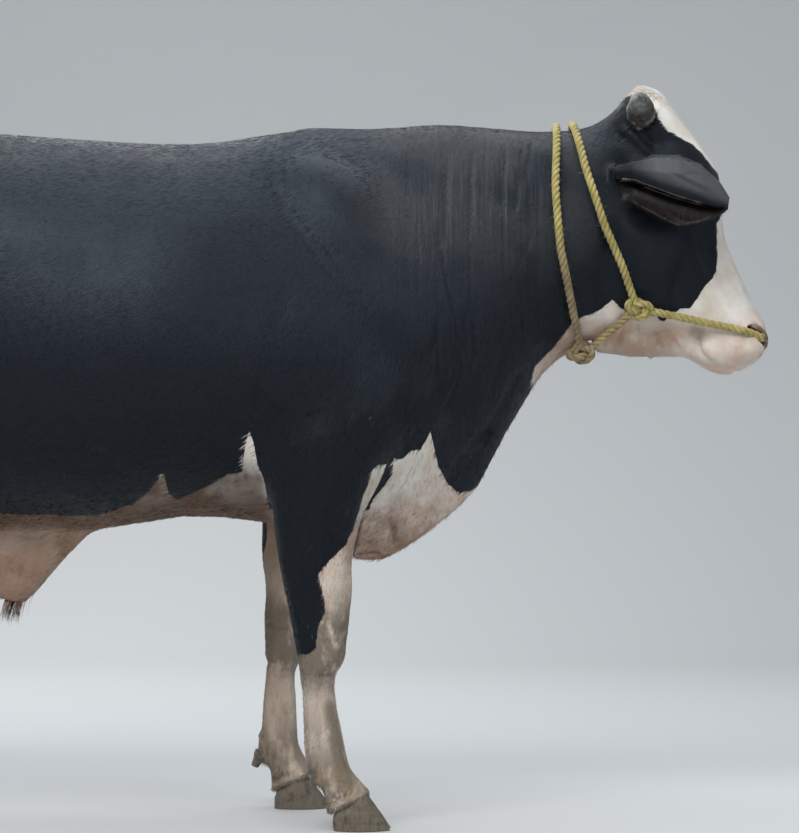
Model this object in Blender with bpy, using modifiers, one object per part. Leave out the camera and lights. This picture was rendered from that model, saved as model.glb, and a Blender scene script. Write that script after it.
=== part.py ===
"""A standing black and white bull in a rope halter, life size, as a still museum model.

The bull faces +X, its left side is +Y, and its claws stand on z = 0. The flesh is lofted in
one piece from sections of trunk, neck, head and legs, blended, and then parted with thin cuts
where a person would name its parts. Ears, horns, eyes, claws and ropes are pieces of their own.
"""
import math

import bmesh
import bpy
import numpy as np
from mathutils import Matrix, Vector
from mathutils.bvhtree import BVHTree

# Driving sizes, in metres.
WITHERS = 1.50                      # height at the shoulder top
CUT = 0.0008                        # width of the cuts that part the body
GAP = 0.0004                        # clearance between a piece and what it sits against
VOXEL = 0.0085                      # grain at which the lofts are blended
FLESH_TRIANGLES = 2500
SIDES = (("right", -1), ("left", 1))

ELBOW_Z = 0.64                      # forelegs leave the trunk here
CARPUS_Z = 0.335                    # just under the knee of the foreleg
FETLOCK_Z = 0.150
THIGH_Z = 0.705                     # hind legs leave the hindquarters here at the flank
THIGH_SLOPE = 20                    # and higher towards the back, by this slope in degrees
HOCK_Z = 0.475                      # just under the hock
CORONET_SLOPE = math.radians(26)    # the hoof's upper rim falls towards the heel
CLAW_LENGTH = 0.124

POLL = Vector((0.992, 0, 1.584))    # top of the head, between the horns
FACE_PITCH = math.radians(62)       # the face line points this far below the horizon
HORN_LENGTH = 0.078
EYE_RADIUS = 0.0215
ROPE_RADIUS = 0.0085

# Trunk and neck: x, top, bottom, height of the widest place, half width, ridge, keel.
# Ridge and keel say how much the section narrows towards its top and its bottom.
TRUNK = (
    (-1.222, 1.365, 1.100, 1.240, 0.070, 0.05, 0.10),
    (-1.200, 1.412, 1.000, 1.230, 0.140, 0.05, 0.15),
    (-1.125, 1.460, 0.920, 1.220, 0.198, -0.10, 0.20),
    (-1.000, 1.481, 0.850, 1.220, 0.238, -0.22, 0.20),
    (-0.850, 1.492, 0.790, 1.220, 0.260, -0.32, 0.15),
    (-0.700, 1.497, 0.720, 1.180, 0.282, -0.36, 0.10),
    (-0.550, 1.492, 0.668, 1.090, 0.315, -0.26, 0.08),
    (-0.400, 1.484, 0.630, 1.040, 0.345, -0.12, 0.05),
    (-0.200, 1.470, 0.622, 1.000, 0.368, 0.02, 0.02),
    (0.000, 1.461, 0.650, 1.000, 0.360, 0.06, 0.05),
    (0.140, 1.478, 0.640, 1.000, 0.322, 0.15, 0.12),
    (0.270, 1.499, 0.620, 1.000, 0.285, 0.26, 0.22),
    (0.400, 1.497, 0.590, 1.000, 0.262, 0.24, 0.34),
    (0.510, 1.506, 0.612, 1.040, 0.236, 0.20, 0.46),
    (0.610, 1.504, 0.700, 1.120, 0.204, 0.14, 0.50),
    (0.700, 1.495, 0.840, 1.190, 0.180, 0.10, 0.46),
    (0.790, 1.490, 0.980, 1.250, 0.164, 0.10, 0.38),
    (0.875, 1.501, 1.008, 1.280, 0.152, 0.14, 0.36),
    (0.940, 1.530, 0.994, 1.270, 0.130, 0.18, 0.40),
    (1.020, 1.400, 0.994, 1.180, 0.098, 0.10, 0.40),
    (1.085, 1.200, 0.994, 1.080, 0.060, 0.00, 0.30),
    (1.110, 1.100, 1.000, 1.050, 0.030, 0.00, 0.20),
)

# Brisket and dewlap, a loose median fold: x, top, bottom, half width.
DEWLAP = (
    (0.190, 0.700, 0.628, 0.030),
    (0.290, 0.720, 0.592, 0.060),
    (0.360, 0.760, 0.556, 0.070),
    (0.420, 0.800, 0.549, 0.068),
    (0.490, 0.840, 0.588, 0.060),
    (0.570, 0.900, 0.646, 0.052),
    (0.640, 0.980, 0.718, 0.044),
    (0.690, 1.050, 0.823, 0.036),
    (0.740, 1.120, 0.925, 0.032),
    (0.780, 1.150, 0.978, 0.028),
)

# Sheath under the belly: x, top, bottom, half width.
SHEATH = (
    (-0.780, 0.830, 0.715, 0.030),
    (-0.690, 0.800, 0.650, 0.044),
    (-0.600, 0.770, 0.598, 0.052),
    (-0.520, 0.740, 0.542, 0.054),
    (-0.450, 0.730, 0.488, 0.050),
    (-0.405, 0.720, 0.455, 0.045),
    (-0.372, 0.715, 0.446, 0.041),
    (-0.345, 0.710, 0.458, 0.041),
    (-0.305, 0.700, 0.502, 0.048),
    (-0.255, 0.700, 0.566, 0.054),
    (-0.200, 0.700, 0.622, 0.050),
)

# Head, across the face line: distance down the face, front, back, widest place (all three
# measured out from the face line), half width, narrowing to the front, narrowing to the back.
HEAD = (
    (-0.008, -0.006, -0.036, -0.022, 0.036, 0.00, 0.00),
    (0.012, 0.014, -0.086, -0.040, 0.070, 0.00, 0.05),
    (0.050, 0.029, -0.140, -0.056, 0.092, 0.00, 0.10),
    (0.110, 0.036, -0.210, -0.060, 0.101, -0.10, 0.12),
    (0.180, 0.050, -0.255, -0.052, 0.110, -0.18, 0.14),
    (0.240, 0.052, -0.270, -0.055, 0.112, -0.12, 0.18),
    (0.300, 0.029, -0.284, -0.070, 0.103, -0.05, 0.22),
    (0.360, 0.004, -0.280, -0.090, 0.092, 0.05, 0.26),
    (0.420, -0.006, -0.262, -0.095, 0.080, 0.08, 0.26),
    (0.480, -0.009, -0.240, -0.090, 0.072, 0.04, 0.24),
    (0.530, -0.012, -0.216, -0.085, 0.073, -0.02, 0.20),
    (0.570, -0.009, -0.196, -0.085, 0.078, -0.10, 0.20),
    (0.600, -0.018, -0.180, -0.085, 0.076, -0.10, 0.16),
    (0.625, -0.034, -0.160, -0.085, 0.064, -0.05, 0.10),
    (0.642, -0.062, -0.128, -0.092, 0.034, 0.00, 0.00),
)

# Legs in level rings: height, back, front, distance from the middle plane, half width.
FORELEG = (
    (0.980, 0.230, 0.520, 0.170, 0.085),
    (0.860, 0.185, 0.480, 0.192, 0.098),
    (0.757, 0.182, 0.418, 0.200, 0.090),
    (0.694, 0.184, 0.398, 0.198, 0.080),
    (0.631, 0.189, 0.377, 0.194, 0.071),
    (0.569, 0.200, 0.364, 0.190, 0.062),
    (0.506, 0.211, 0.361, 0.186, 0.056),
    (0.443, 0.225, 0.359, 0.183, 0.055),
    (0.400, 0.231, 0.354, 0.181, 0.056),
    (0.354, 0.242, 0.345, 0.180, 0.050),
    (0.322, 0.245, 0.329, 0.180, 0.040),
    (0.280, 0.249, 0.327, 0.180, 0.035),
    (0.215, 0.251, 0.341, 0.180, 0.037),
    (0.167, 0.254, 0.350, 0.180, 0.044),
    (0.138, 0.257, 0.356, 0.180, 0.049),
    (0.112, 0.270, 0.371, 0.180, 0.046),
    (0.086, 0.292, 0.396, 0.180, 0.050),
    (0.050, 0.300, 0.408, 0.180, 0.054),
    (0.030, 0.306, 0.412, 0.180, 0.052),
)
HINDLEG = (
    (1.400, -1.050, -0.850, 0.120, 0.050),
    (1.320, -1.130, -0.760, 0.142, 0.078),
    (1.220, -1.180, -0.690, 0.158, 0.102),
    (1.120, -1.207, -0.640, 0.168, 0.117),
    (1.020, -1.218, -0.596, 0.176, 0.122),
    (0.920, -1.208, -0.578, 0.182, 0.116),
    (0.840, -1.182, -0.594, 0.186, 0.102),
    (0.760, -1.140, -0.655, 0.188, 0.086),
    (0.690, -1.100, -0.755, 0.188, 0.070),
    (0.630, -1.100, -0.850, 0.186, 0.056),
    (0.580, -1.138, -0.920, 0.184, 0.050),
    (0.530, -1.150, -0.972, 0.184, 0.049),
    (0.480, -1.138, -1.000, 0.184, 0.046),
    (0.420, -1.112, -1.016, 0.184, 0.038),
    (0.330, -1.100, -1.018, 0.184, 0.034),
    (0.230, -1.092, -1.008, 0.184, 0.036),
    (0.167, -1.088, -0.992, 0.184, 0.044),
    (0.138, -1.080, -0.980, 0.184, 0.048),
    (0.112, -1.062, -0.960, 0.184, 0.046),
    (0.086, -1.040, -0.935, 0.184, 0.050),
    (0.050, -1.032, -0.926, 0.184, 0.054),
    (0.030, -1.026, -0.920, 0.184, 0.052),
)
# Each leg's foot stands this far forward of the rings above, which sheer from the joint down.
STANCE = {
    ("fore", "right"): 0.0,
    ("fore", "left"): -0.138,
    ("hind", "right"): 0.050,
    ("hind", "left"): -0.045,
}

# Muscle and bone that stand out of the lofts, for each side: centre, radii, pitch in degrees.
MASSES = (
    ((0.350, 0.130, 1.140), (0.155, 0.120, 0.300), -20),   # shoulder blade
    ((0.340, 0.178, 0.900), (0.165, 0.104, 0.185), 15),    # upper arm
    ((0.480, 0.135, 0.930), (0.105, 0.100, 0.140), 0),     # point of the shoulder
    ((0.215, 0.200, 0.790), (0.060, 0.070, 0.090), 0),     # elbow
    ((-0.900, 0.150, 1.110), (0.290, 0.138, 0.300), -12),  # haunch
    ((-0.720, 0.200, 1.370), (0.090, 0.070, 0.075), 0),    # hook bone
    ((-1.140, 0.108, 1.345), (0.075, 0.060, 0.070), 0),    # pin bone
    ((-0.650, 0.192, 0.860), (0.075, 0.080, 0.100), 0),    # stifle
)
# The same on the head: down the face, out from the face line, sideways, then the radii.
HEAD_MASSES = (
    ((0.300, -0.175, 0.074), (0.105, 0.100, 0.040)),       # cheek
    ((0.232, -0.024, 0.088), (0.046, 0.042, 0.034)),       # brow over the eye
    ((0.395, -0.078, 0.064), (0.085, 0.022, 0.026)),       # cheekbone ridge
    ((0.592, -0.070, 0.052), (0.042, 0.052, 0.034)),       # wing of the nostril
    ((0.572, -0.120, 0.042), (0.046, 0.058, 0.038)),       # upper lip
)
EYE = (0.262, -0.046, 0.100)                               # in the same order
HORN = (0.056, -0.048, 0.086)
NOSTRIL = (0.592, -0.046, 0.044)

# Ear, a leaf of gristle folded lengthwise that opens outward and down: x, height of its top,
# of its outer rim and of its lower rim, distance from the middle plane, half its depth.
EAR = (
    (0.912, 1.398, 1.372, 1.340, 0.108, 0.020),
    (0.955, 1.409, 1.368, 1.319, 0.137, 0.027),
    (1.000, 1.419, 1.348, 1.292, 0.159, 0.033),
    (1.045, 1.417, 1.330, 1.268, 0.174, 0.032),
    (1.090, 1.398, 1.316, 1.274, 0.187, 0.025),
    (1.130, 1.360, 1.307, 1.290, 0.197, 0.014),
    (1.150, 1.326, 1.312, 1.306, 0.203, 0.006),
)
# The folded leaf from its outer rim over the top to its lower rim: how far out (in half
# depths), then how much of the top, the outer rim and the lower rim goes into the height.
EAR_FOLD = (
    (1.00, 0.0, 1.0, 0.0),
    (1.06, 0.5, 0.5, 0.0),
    (0.66, 0.9, 0.1, 0.0),
    (0.00, 1.0, 0.0, 0.0),
    (-0.72, 0.84, 0.0, 0.16),
    (-1.00, 0.52, 0.0, 0.48),
    (-0.70, 0.22, 0.0, 0.78),
    (0.00, 0.0, 0.0, 1.0),
)
EAR_THICKNESS = 0.0075

# Ropes: the neck loop's and the headstall's x at each height, and the places beside the face
# that a rope passes, as x, distance from the middle plane and height.
NECK_LOOP = ((1.012, 0.849), (1.054, 0.839), (1.102, 0.826), (1.227, 0.798), (1.354, 0.788), (1.500, 0.798))
HEADSTALL = ((1.100, 0.966), (1.133, 0.953), (1.192, 0.931), (1.275, 0.892), (1.392, 0.855), (1.500, 0.833))
CHEEK_KNOT = (0.966, 1.100)
NOSE_ROPE = ((0.996, 1.106), (1.057, 1.090), (1.122, 1.071), (1.173, 1.056))
THROAT_KNOT = (0.850, -0.050, 1.006)


def head_point(down, out, side):
    """A place on the head, from its distance down the face, out of the face line, and sideways."""
    along = Vector((math.cos(FACE_PITCH), 0, -math.sin(FACE_PITCH)))
    forward = Vector((math.sin(FACE_PITCH), 0, math.cos(FACE_PITCH)))
    return POLL + along * down + forward * out + Vector((0, side, 0))


def smooth_rows(rows, steps):
    """The rows of a table with smooth ones between them, on a curve through each column."""
    rows = np.array(rows, float)
    ends = np.vstack([2 * rows[0] - rows[1], rows, 2 * rows[-1] - rows[-2]])
    made = []
    for a, b, c, d in zip(ends, ends[1:], ends[2:], ends[3:]):
        for t in np.arange(steps) / steps:
            slope = (c - a) * t
            bend = (2 * a - 5 * b + 4 * c - d) * t ** 2 + (3 * b - a - 3 * c + d) * t ** 3
            made.append(b + 0.5 * (slope + bend))
    made.append(rows[-1])
    return made


def mesh_object(name, bm, collection):
    bmesh.ops.recalc_face_normals(bm, faces=bm.faces)
    mesh = bpy.data.meshes.new(name)
    bm.to_mesh(mesh)
    bm.free()
    obj = bpy.data.objects.new(name, mesh)
    collection.objects.link(obj)
    return obj


def loft(name, rings, collection):
    """A closed skin through rings of equal count, flat at both ends."""
    bm = bmesh.new()
    loops = [[bm.verts.new(p) for p in ring] for ring in rings]
    for low, high in zip(loops, loops[1:]):
        for k in range(len(low)):
            bm.faces.new((low[k - 1], low[k], high[k], high[k - 1]))
    bm.faces.new(loops[0])
    bm.faces.new(loops[-1])
    return mesh_object(name, bm, collection)


def around(count):
    return [(math.cos(a), math.sin(a)) for a in np.arange(count) * 2 * math.pi / count]


def trunk_ring(row):
    x, top, bottom, middle, half, ridge, keel = row
    ring = []
    for up, side in around(40):
        reach, pinch = (top - middle, ridge) if up > 0 else (middle - bottom, keel)
        ring.append((x, half * side * (1 - pinch * up * up), middle + reach * up))
    return ring


def fold_ring(row):
    """A section of a loose fold that hangs in the middle plane."""
    x, top, bottom, half = row
    middle = (top + bottom) / 2
    return [(x, half * side, middle + (top - bottom) / 2 * up) for up, side in around(24)]


def head_ring(row):
    down, front, back, middle, half, narrow_front, narrow_back = row
    ring = []
    for out, side in around(40):
        if out > 0:
            reach, pinch = front - middle, narrow_front
        else:
            reach, pinch = middle - back, narrow_back
        place = half * side * (1 - pinch * out * out)
        ring.append(head_point(down, middle + reach * out, place))
    return ring


def leg_ring(row, side, shift, joint):
    z, back, front, away, half = row
    x = (front + back) / 2 + shift * max(0, 1 - z / joint)
    length = (front - back) / 2
    return [(x + length * c, side * away + half * s, z) for c, s in around(24)]


def ball(name, place, radii, pitch, collection, segments=16):
    bm = bmesh.new()
    turn = Matrix.Rotation(math.radians(pitch), 4, "Y")
    bmesh.ops.create_uvsphere(
        bm, u_segments=segments, v_segments=segments * 5 // 8, radius=1,
        matrix=Matrix.Translation(place) @ turn @ Matrix.Diagonal((*radii, 1)),
    )
    return mesh_object(name, bm, collection)


def scrotum(collection):
    """Two glands in one loose purse between the thighs."""
    rows = (
        (0.860, 0.050, 0.045), (0.800, 0.046, 0.040), (0.740, 0.058, 0.056),
        (0.670, 0.068, 0.080), (0.610, 0.062, 0.078), (0.565, 0.044, 0.056), (0.545, 0.020, 0.026),
    )
    rings = [
        [(-0.830 + length * c, half * s, z) for c, s in around(20)]
        for z, length, half in smooth_rows(rows, 2)
    ]
    return loft("scrotum_form", rings, collection)


def lofts(collection):
    """Every form of flesh, still apart."""
    made = [
        loft("trunk_form", [trunk_ring(r) for r in smooth_rows(TRUNK, 4)], collection),
        loft("head_form", [head_ring(r) for r in smooth_rows(HEAD, 3)], collection),
        loft("dewlap_form", [fold_ring(r) for r in smooth_rows(DEWLAP, 3)], collection),
        loft("sheath_form", [fold_ring(r) for r in smooth_rows(SHEATH, 3)], collection),
        scrotum(collection),
    ]
    for name, side in SIDES:
        for kind, rows, joint in (("fore", FORELEG, 0.92), ("hind", HINDLEG, 0.90)):
            shift = STANCE[kind, name]
            rings = [leg_ring(r, side, shift, joint) for r in smooth_rows(rows, 3)]
            made.append(loft(f"{kind}_{name}_form", rings, collection))
        for n, ((x, y, z), radii, pitch) in enumerate(MASSES):
            form = ball(f"mass_{n}_{name}", (x, side * y, z), radii, pitch, collection)
            made.append(form)
        for n, ((down, out, away), (long, deep, wide)) in enumerate(HEAD_MASSES):
            place = head_point(down, out, side * away)
            radii, pitch = (long, wide, deep), math.degrees(FACE_PITCH)
            made.append(ball(f"face_{n}_{name}", place, radii, pitch, collection))
    return made


def evaluated_mesh(obj):
    graph = bpy.context.evaluated_depsgraph_get()
    return bpy.data.meshes.new_from_object(obj.evaluated_get(graph))


def apply_modifiers(obj):
    mesh = evaluated_mesh(obj)
    obj.modifiers.clear()
    obj.data = mesh
    return obj


def joined(name, objects, collection):
    bm = bmesh.new()
    for obj in objects:
        bm.from_mesh(obj.data)
        bpy.data.objects.remove(obj)
    return mesh_object(name, bm, collection)


def blended(objects, collection):
    """One smooth body from the overlapping forms."""
    body = joined("body", objects, collection)
    remesh = body.modifiers.new("blend", "REMESH")
    remesh.mode, remesh.voxel_size = "VOXEL", VOXEL
    smooth = body.modifiers.new("soften", "SMOOTH")
    smooth.factor, smooth.iterations = 0.5, 10
    apply_modifiers(body)
    fewer = body.modifiers.new("facets", "DECIMATE")
    fewer.ratio = FLESH_TRIANGLES / (2 * len(body.data.polygons))
    fewer.use_collapse_triangulate = True
    return apply_modifiers(body)


def boolean(obj, other, operation):
    cut = obj.modifiers.new(operation.lower(), "BOOLEAN")
    cut.object, cut.operation, cut.solver = other, operation, "EXACT"
    return apply_modifiers(obj)


def copy_of(obj, name, collection):
    made = bpy.data.objects.new(name, obj.data.copy())
    made.matrix_world = obj.matrix_world.copy()
    collection.objects.link(made)
    return made


def grown(obj, by, collection):
    """A copy that stands out of the object by a clearance on every side."""
    copy = copy_of(obj, obj.name + "_grown", collection)
    bm = bmesh.new()
    bm.from_mesh(copy.data)
    bm.normal_update()
    for vert in bm.verts:
        vert.co += vert.normal * by * vert.calc_shell_factor()
    bm.to_mesh(copy.data)
    bm.free()
    return copy


def block(low, high, pitch, pivot, collection):
    """A box between two corners, turned about the Y axis through a pivot."""
    low, high, pivot = Vector(low), Vector(high), Vector(pivot)
    bm = bmesh.new()
    turn = Matrix.Rotation(math.radians(pitch), 4, "Y")
    bmesh.ops.create_cube(
        bm, size=1,
        matrix=Matrix.Translation(pivot) @ turn @ Matrix.Translation((low + high) / 2)
        @ Matrix.Diagonal((*(high - low), 1)),
    )
    return mesh_object("region", bm, collection)


def carve(body, name, low, high, helpers, parts, pitch=0, pivot=(0, 0, 0)):
    """Takes what lies in a box out of the body as a part of its own, a thin cut apart."""
    room = Vector((CUT, CUT, CUT))
    region = block(low, high, pitch, pivot, helpers)
    piece = boolean(copy_of(body, name, parts), region, "INTERSECT")
    bpy.data.objects.remove(region)
    region = block(Vector(low) - room, Vector(high) + room, pitch, pivot, helpers)
    boolean(body, region, "DIFFERENCE")
    bpy.data.objects.remove(region)
    return piece


def finish(obj, material):
    obj.data.materials.clear()
    obj.data.materials.append(material)
    obj.data.shade_smooth()
    obj.data.set_sharp_from_angle(angle=math.radians(50))


def material(name, colour, roughness):
    made = bpy.data.materials.new(name)
    made.use_nodes = True
    shader = made.node_tree.nodes["Principled BSDF"]
    shader.inputs["Base Color"].default_value = (*colour, 1)
    shader.inputs["Roughness"].default_value = roughness
    shader.inputs["Metallic"].default_value = 0
    return made


def claw_rows(kind):
    """The foot's own rings: where its back, its toe and the coronet's front are."""
    rows = FORELEG if kind == "fore" else HINDLEG
    heel = rows[-1][1] + 0.012
    return heel, rows[-1][3]


def claw(name, heel, middle, outward, collection):
    """One of a foot's two claws: flat below, steep in front, rounded outside, flat inside."""
    rows = (                        # height, heel, toe, inner wall, outer wall
        (0.000, 0.012, 1.000, 0.004, 0.054),
        (0.035, 0.000, 0.810, 0.003, 0.054),
        (0.070, 0.030, 0.600, 0.003, 0.051),
        (0.096, 0.070, 0.450, 0.004, 0.046),
    )
    rings = []
    for z, back, toe, inner, outer in rows:
        ring = []
        for c, s in around(12):
            x = heel + CLAW_LENGTH * ((toe + back) / 2 + (toe - back) / 2 * c)
            across = (inner + outer) / 2 + (outer - inner) / 2 * s
            if s < 0:               # the inner wall is flatter than the outer one
                across = (inner + outer) / 2 + (outer - inner) / 2 * -abs(s) ** 0.45
            pull = 0.30 * max(0, c) ** 2 * (across - inner)
            ring.append((x, middle + outward * (across - pull), z))
        rings.append(ring)
    return loft(name, rings, collection)


def dewclaw(name, place, outward, collection):
    bm = bmesh.new()
    turn = Matrix.Rotation(math.radians(205), 4, "Y") @ Matrix.Rotation(0.25 * outward, 4, "X")
    bmesh.ops.create_cone(
        bm, cap_ends=True, segments=8, radius1=0.0150, radius2=0.0085, depth=0.030,
        matrix=Matrix.Translation(place) @ turn,
    )
    return mesh_object(name, bm, collection)


def coronet(obj, foot_x, keep_above):
    """Cuts a foot along its coronet, keeping the flesh above or the claw below."""
    bm = bmesh.new()
    bm.from_mesh(obj.data)
    normal = Vector((-math.sin(CORONET_SLOPE), 0, math.cos(CORONET_SLOPE)))
    place = Vector((foot_x, 0, 0.064)) + normal * (CUT if keep_above else 0)
    cut = bmesh.ops.bisect_plane(
        bm, geom=bm.verts[:] + bm.edges[:] + bm.faces[:], dist=1e-6, plane_co=place,
        plane_no=normal, clear_inner=keep_above, clear_outer=not keep_above,
    )
    edges = [e for e in cut["geom_cut"] if isinstance(e, bmesh.types.BMEdge)]
    bmesh.ops.holes_fill(bm, edges=edges, sides=0)
    bmesh.ops.recalc_face_normals(bm, faces=bm.faces)
    bm.to_mesh(obj.data)
    bm.free()
    return obj


def ear(name, side, collection):
    """One folded leaf, thickened."""
    bm = bmesh.new()
    rows = []
    for x, top, outer, lower, away, depth in smooth_rows(EAR, 1):
        row = []
        for out, of_top, of_outer, of_lower in EAR_FOLD:
            height = of_top * top + of_outer * outer + of_lower * lower
            row.append(bm.verts.new((x, side * (away + depth * out), height)))
        rows.append(row)
    for near, far in zip(rows, rows[1:]):
        for k in range(len(near) - 1):
            bm.faces.new((near[k], near[k + 1], far[k + 1], far[k]))
    obj = mesh_object(name, bm, collection)
    shell = obj.modifiers.new("thickness", "SOLIDIFY")
    shell.thickness, shell.offset = EAR_THICKNESS, 0
    return apply_modifiers(obj)


def horn(name, side, collection):
    """A short blunt horn that points outward and a little up."""
    base = head_point(*HORN[:2], side * HORN[2])
    aim = Vector((-0.14, side * 0.87, 0.46)).normalized()
    front = aim.cross(Vector((0, 0, 1))).normalized()
    up = front.cross(aim)
    rings = []
    for t in (-0.30, 0.1, 0.5, 0.8, 0.97):
        radius = 0.030 * math.sqrt(max(0.02, 1 - max(0, t) ** 2.1))
        centre = base + aim * HORN_LENGTH * t + up * 0.010 * t * t
        rings.append([centre + front * radius * c + up * radius * 1.05 * s for c, s in around(10)])
    return loft(name, rings, collection)


def tube(name, points, radius, collection, taper=None):
    """A round cord through the points, as a closed mesh."""
    curve = bpy.data.curves.new(name, "CURVE")
    curve.dimensions, curve.bevel_depth, curve.bevel_resolution = "3D", radius, 2
    curve.use_fill_caps = True
    line = curve.splines.new("POLY")
    line.points.add(len(points) - 1)
    for n, (spot, place) in enumerate(zip(line.points, points)):
        spot.co = (*place, 1)
        spot.radius = taper[n] if taper else 1
    guide = bpy.data.objects.new(name, curve)
    collection.objects.link(guide)
    bpy.context.view_layer.update()
    mesh = evaluated_mesh(guide)
    bpy.data.objects.remove(guide)
    bm = bmesh.new()
    bm.from_mesh(mesh)
    bmesh.ops.remove_doubles(bm, verts=bm.verts, dist=1e-5)
    return mesh_object(name, bm, collection)


def tree_of(obj):
    bm = bmesh.new()
    bm.from_mesh(obj.data)
    tree = BVHTree.FromBMesh(bm)
    bm.free()
    return tree


def surface_place(tree, centre, away, clear):
    """Where a ray from inside the body leaves it, a little further out."""
    low, high = 0.0, 0.6
    for _ in range(30):
        middle = (low + high) / 2
        place = centre + away * middle
        near, normal, _, _ = tree.find_nearest(place)
        if (place - near).dot(normal) < 0:
            low = middle
        else:
            high = middle
    return centre + away * (high + clear)


def hull_of(points):
    """The taut line round flat points, in order."""
    points = sorted(points)
    chains = []
    for run in (points, points[::-1]):
        chain = []
        for p in run:
            while len(chain) > 1:
                (ax, ay), (bx, by) = chain[-2][:2], chain[-1][:2]
                if (bx - ax) * (p[1] - ay) - (by - ay) * (p[0] - ax) > 0:
                    break
                chain.pop()
            chain.append(p)
        chains.append(chain[:-1])
    return chains[0] + chains[1]


def evenly(points, count):
    """The same line with its points evenly spaced."""
    points = np.array([tuple(p) for p in points])
    steps = np.linalg.norm(np.diff(points, axis=0), axis=1)
    along = np.concatenate([[0], np.cumsum(steps)])
    at = np.linspace(0, along[-1], count)
    return [Vector([float(np.interp(t, along, points[:, k])) for k in range(3)]) for t in at]


def neck_loop(tree, line, centre_z, count):
    """A taut rope round the neck, from straight below and back. Line gives its x at a height."""
    heights, places = zip(*line)
    centre = Vector((0, 0, centre_z))
    flat = []
    for angle in np.linspace(-math.pi, math.pi, 73):
        away = Vector((0, math.sin(angle), math.cos(angle)))
        centre.x = float(np.interp(centre_z, heights, places))
        top = centre + away * 0.2
        lean = (float(np.interp(top.z, heights, places)) - centre.x) / 0.2
        place = surface_place(tree, centre, away + Vector((lean, 0, 0)), ROPE_RADIUS + 0.0018)
        flat.append((place.y, place.z))
    taut = hull_of(flat)
    seam = min(range(len(taut)), key=lambda k: taut[k][1])
    order = taut[seam:] + taut[:seam + 1]
    return evenly([(float(np.interp(z, heights, places)), y, z) for y, z in order], count)


def taut(points, tree, clear, count):
    """The points' line pulled tight between its two ends, without entering the body."""
    points = evenly(points, count)
    for _ in range(60):
        for k in range(1, count - 1):
            place = (points[k - 1] + points[k + 1]) / 2
            near, normal, _, _ = tree.find_nearest(place)
            depth = clear - (place - near).dot(normal)
            points[k] = place + normal * max(0, depth)
    return points


def eased(points, tree, clear):
    """The line moved out wherever a stretch of it would cut into the body."""
    for _ in range(6):
        for near_end, far_end in zip(points, points[1:]):
            for share in (0.25, 0.5, 0.75):
                place = near_end.lerp(far_end, share)
                near, normal, _, _ = tree.find_nearest(place)
                short = max(0, clear - (place - near).dot(normal))
                near_end += normal * short * 0.7
                far_end += normal * short * 0.7
    return points


def halter(body, collection):
    """Laid rope: a loop round the neck, a headstall, and a nose rope through the nostrils."""
    tree = tree_of(body)
    clear = ROPE_RADIUS + 0.0022
    made = {}

    def beside(x, z, side, lift=clear):
        return surface_place(tree, Vector((x, 0, z)), Vector((0, side, 0)), lift)

    def rope(name, points):
        made[name] = tube(name, points, ROPE_RADIUS, collection)

    throat = Vector(THROAT_KNOT)
    made["throat_knot"] = knot("throat_knot", throat, (0.027, 0.020, 0.023), collection)
    loop = neck_loop(tree, NECK_LOOP, 1.25, 110)
    loop = [p for p in loop if (p - throat).length > 0.030]
    loop = eased(evenly(opened(loop), 20), tree, clear)
    rope("neck_rope", [throat.lerp(loop[0], 0.4), *loop, throat.lerp(loop[-1], 0.4)])
    stall = neck_loop(tree, HEADSTALL, 1.30, 110)
    stall = [p for p in stall if p.z > CHEEK_KNOT[1] + 0.020]
    ends = []
    nose = []
    for name, side in SIDES:
        cheek = beside(*CHEEK_KNOT, side, 0.013)
        label = f"cheek_knot_{name}"
        made[label] = knot(label, cheek, (0.027, 0.015, 0.019), collection)
        ends.append(cheek)
        strap = [cheek, beside(0.905, 1.060, side)]
        strap += [Vector((0.890, 0.030, 1.0))] if side > 0 else []
        strap.append(throat + Vector((0.020, 0.0, 0.008)))
        strap = taut(strap, tree, clear, 5 if side < 0 else 8)
        rope(f"jaw_rope_{name}", eased(strap, tree, clear))
        wing = head_point(NOSTRIL[0] - 0.006, NOSTRIL[1] - 0.004, side * (NOSTRIL[2] + 0.026))
        along = [cheek, *[beside(x, z, side) for x, z in NOSE_ROPE], wing]
        inside = head_point(*NOSTRIL[:2], side * NOSTRIL[2] * 0.75)
        nose.append(eased(taut(along, tree, clear, 7), tree, clear) + [inside])
    if stall[0].y > 0:
        stall.reverse()
    stall = eased(evenly(stall, 18), tree, clear)
    rope("headstall_rope", [ends[0], *stall, ends[1]])
    rope("nose_rope", nose[0] + nose[1][::-1])
    return made


def opened(loop):
    """A closed loop's points as an open line, from one side of its widest gap to the other."""
    steps = [(b - a).length for a, b in zip(loop, loop[1:] + loop[:1])]
    start = steps.index(max(steps)) + 1
    return loop[start:] + loop[:start]


def fasten(made, helpers):
    """Seats the knots on the flesh, and ends each rope at its knots and its neighbours."""
    flesh = [made[name] for name in ("head", "lower_jaw", "neck")]
    knots = [made[name] for name in ("throat_knot", "cheek_knot_right", "cheek_knot_left")]
    for piece in knots:
        trimmed(piece, flesh, helpers)
    for name, also in (
        ("neck_rope", ()),
        ("jaw_rope_right", ("neck_rope",)),
        ("jaw_rope_left", ("neck_rope", "jaw_rope_right")),
        ("headstall_rope", ()),
        ("nose_rope", ()),
    ):
        trimmed(made[name], knots + [made[other] for other in also], helpers)
        largest_body(made[name])
    boolean(made["head"], grown(made["nose_rope"], GAP, helpers), "DIFFERENCE")


def knot(name, place, radii, collection):
    bm = bmesh.new()
    bmesh.ops.create_icosphere(
        bm, subdivisions=2, radius=1,
        matrix=Matrix.Translation(place) @ Matrix.Diagonal((*radii, 1)),
    )
    return mesh_object(name, bm, collection)


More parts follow.
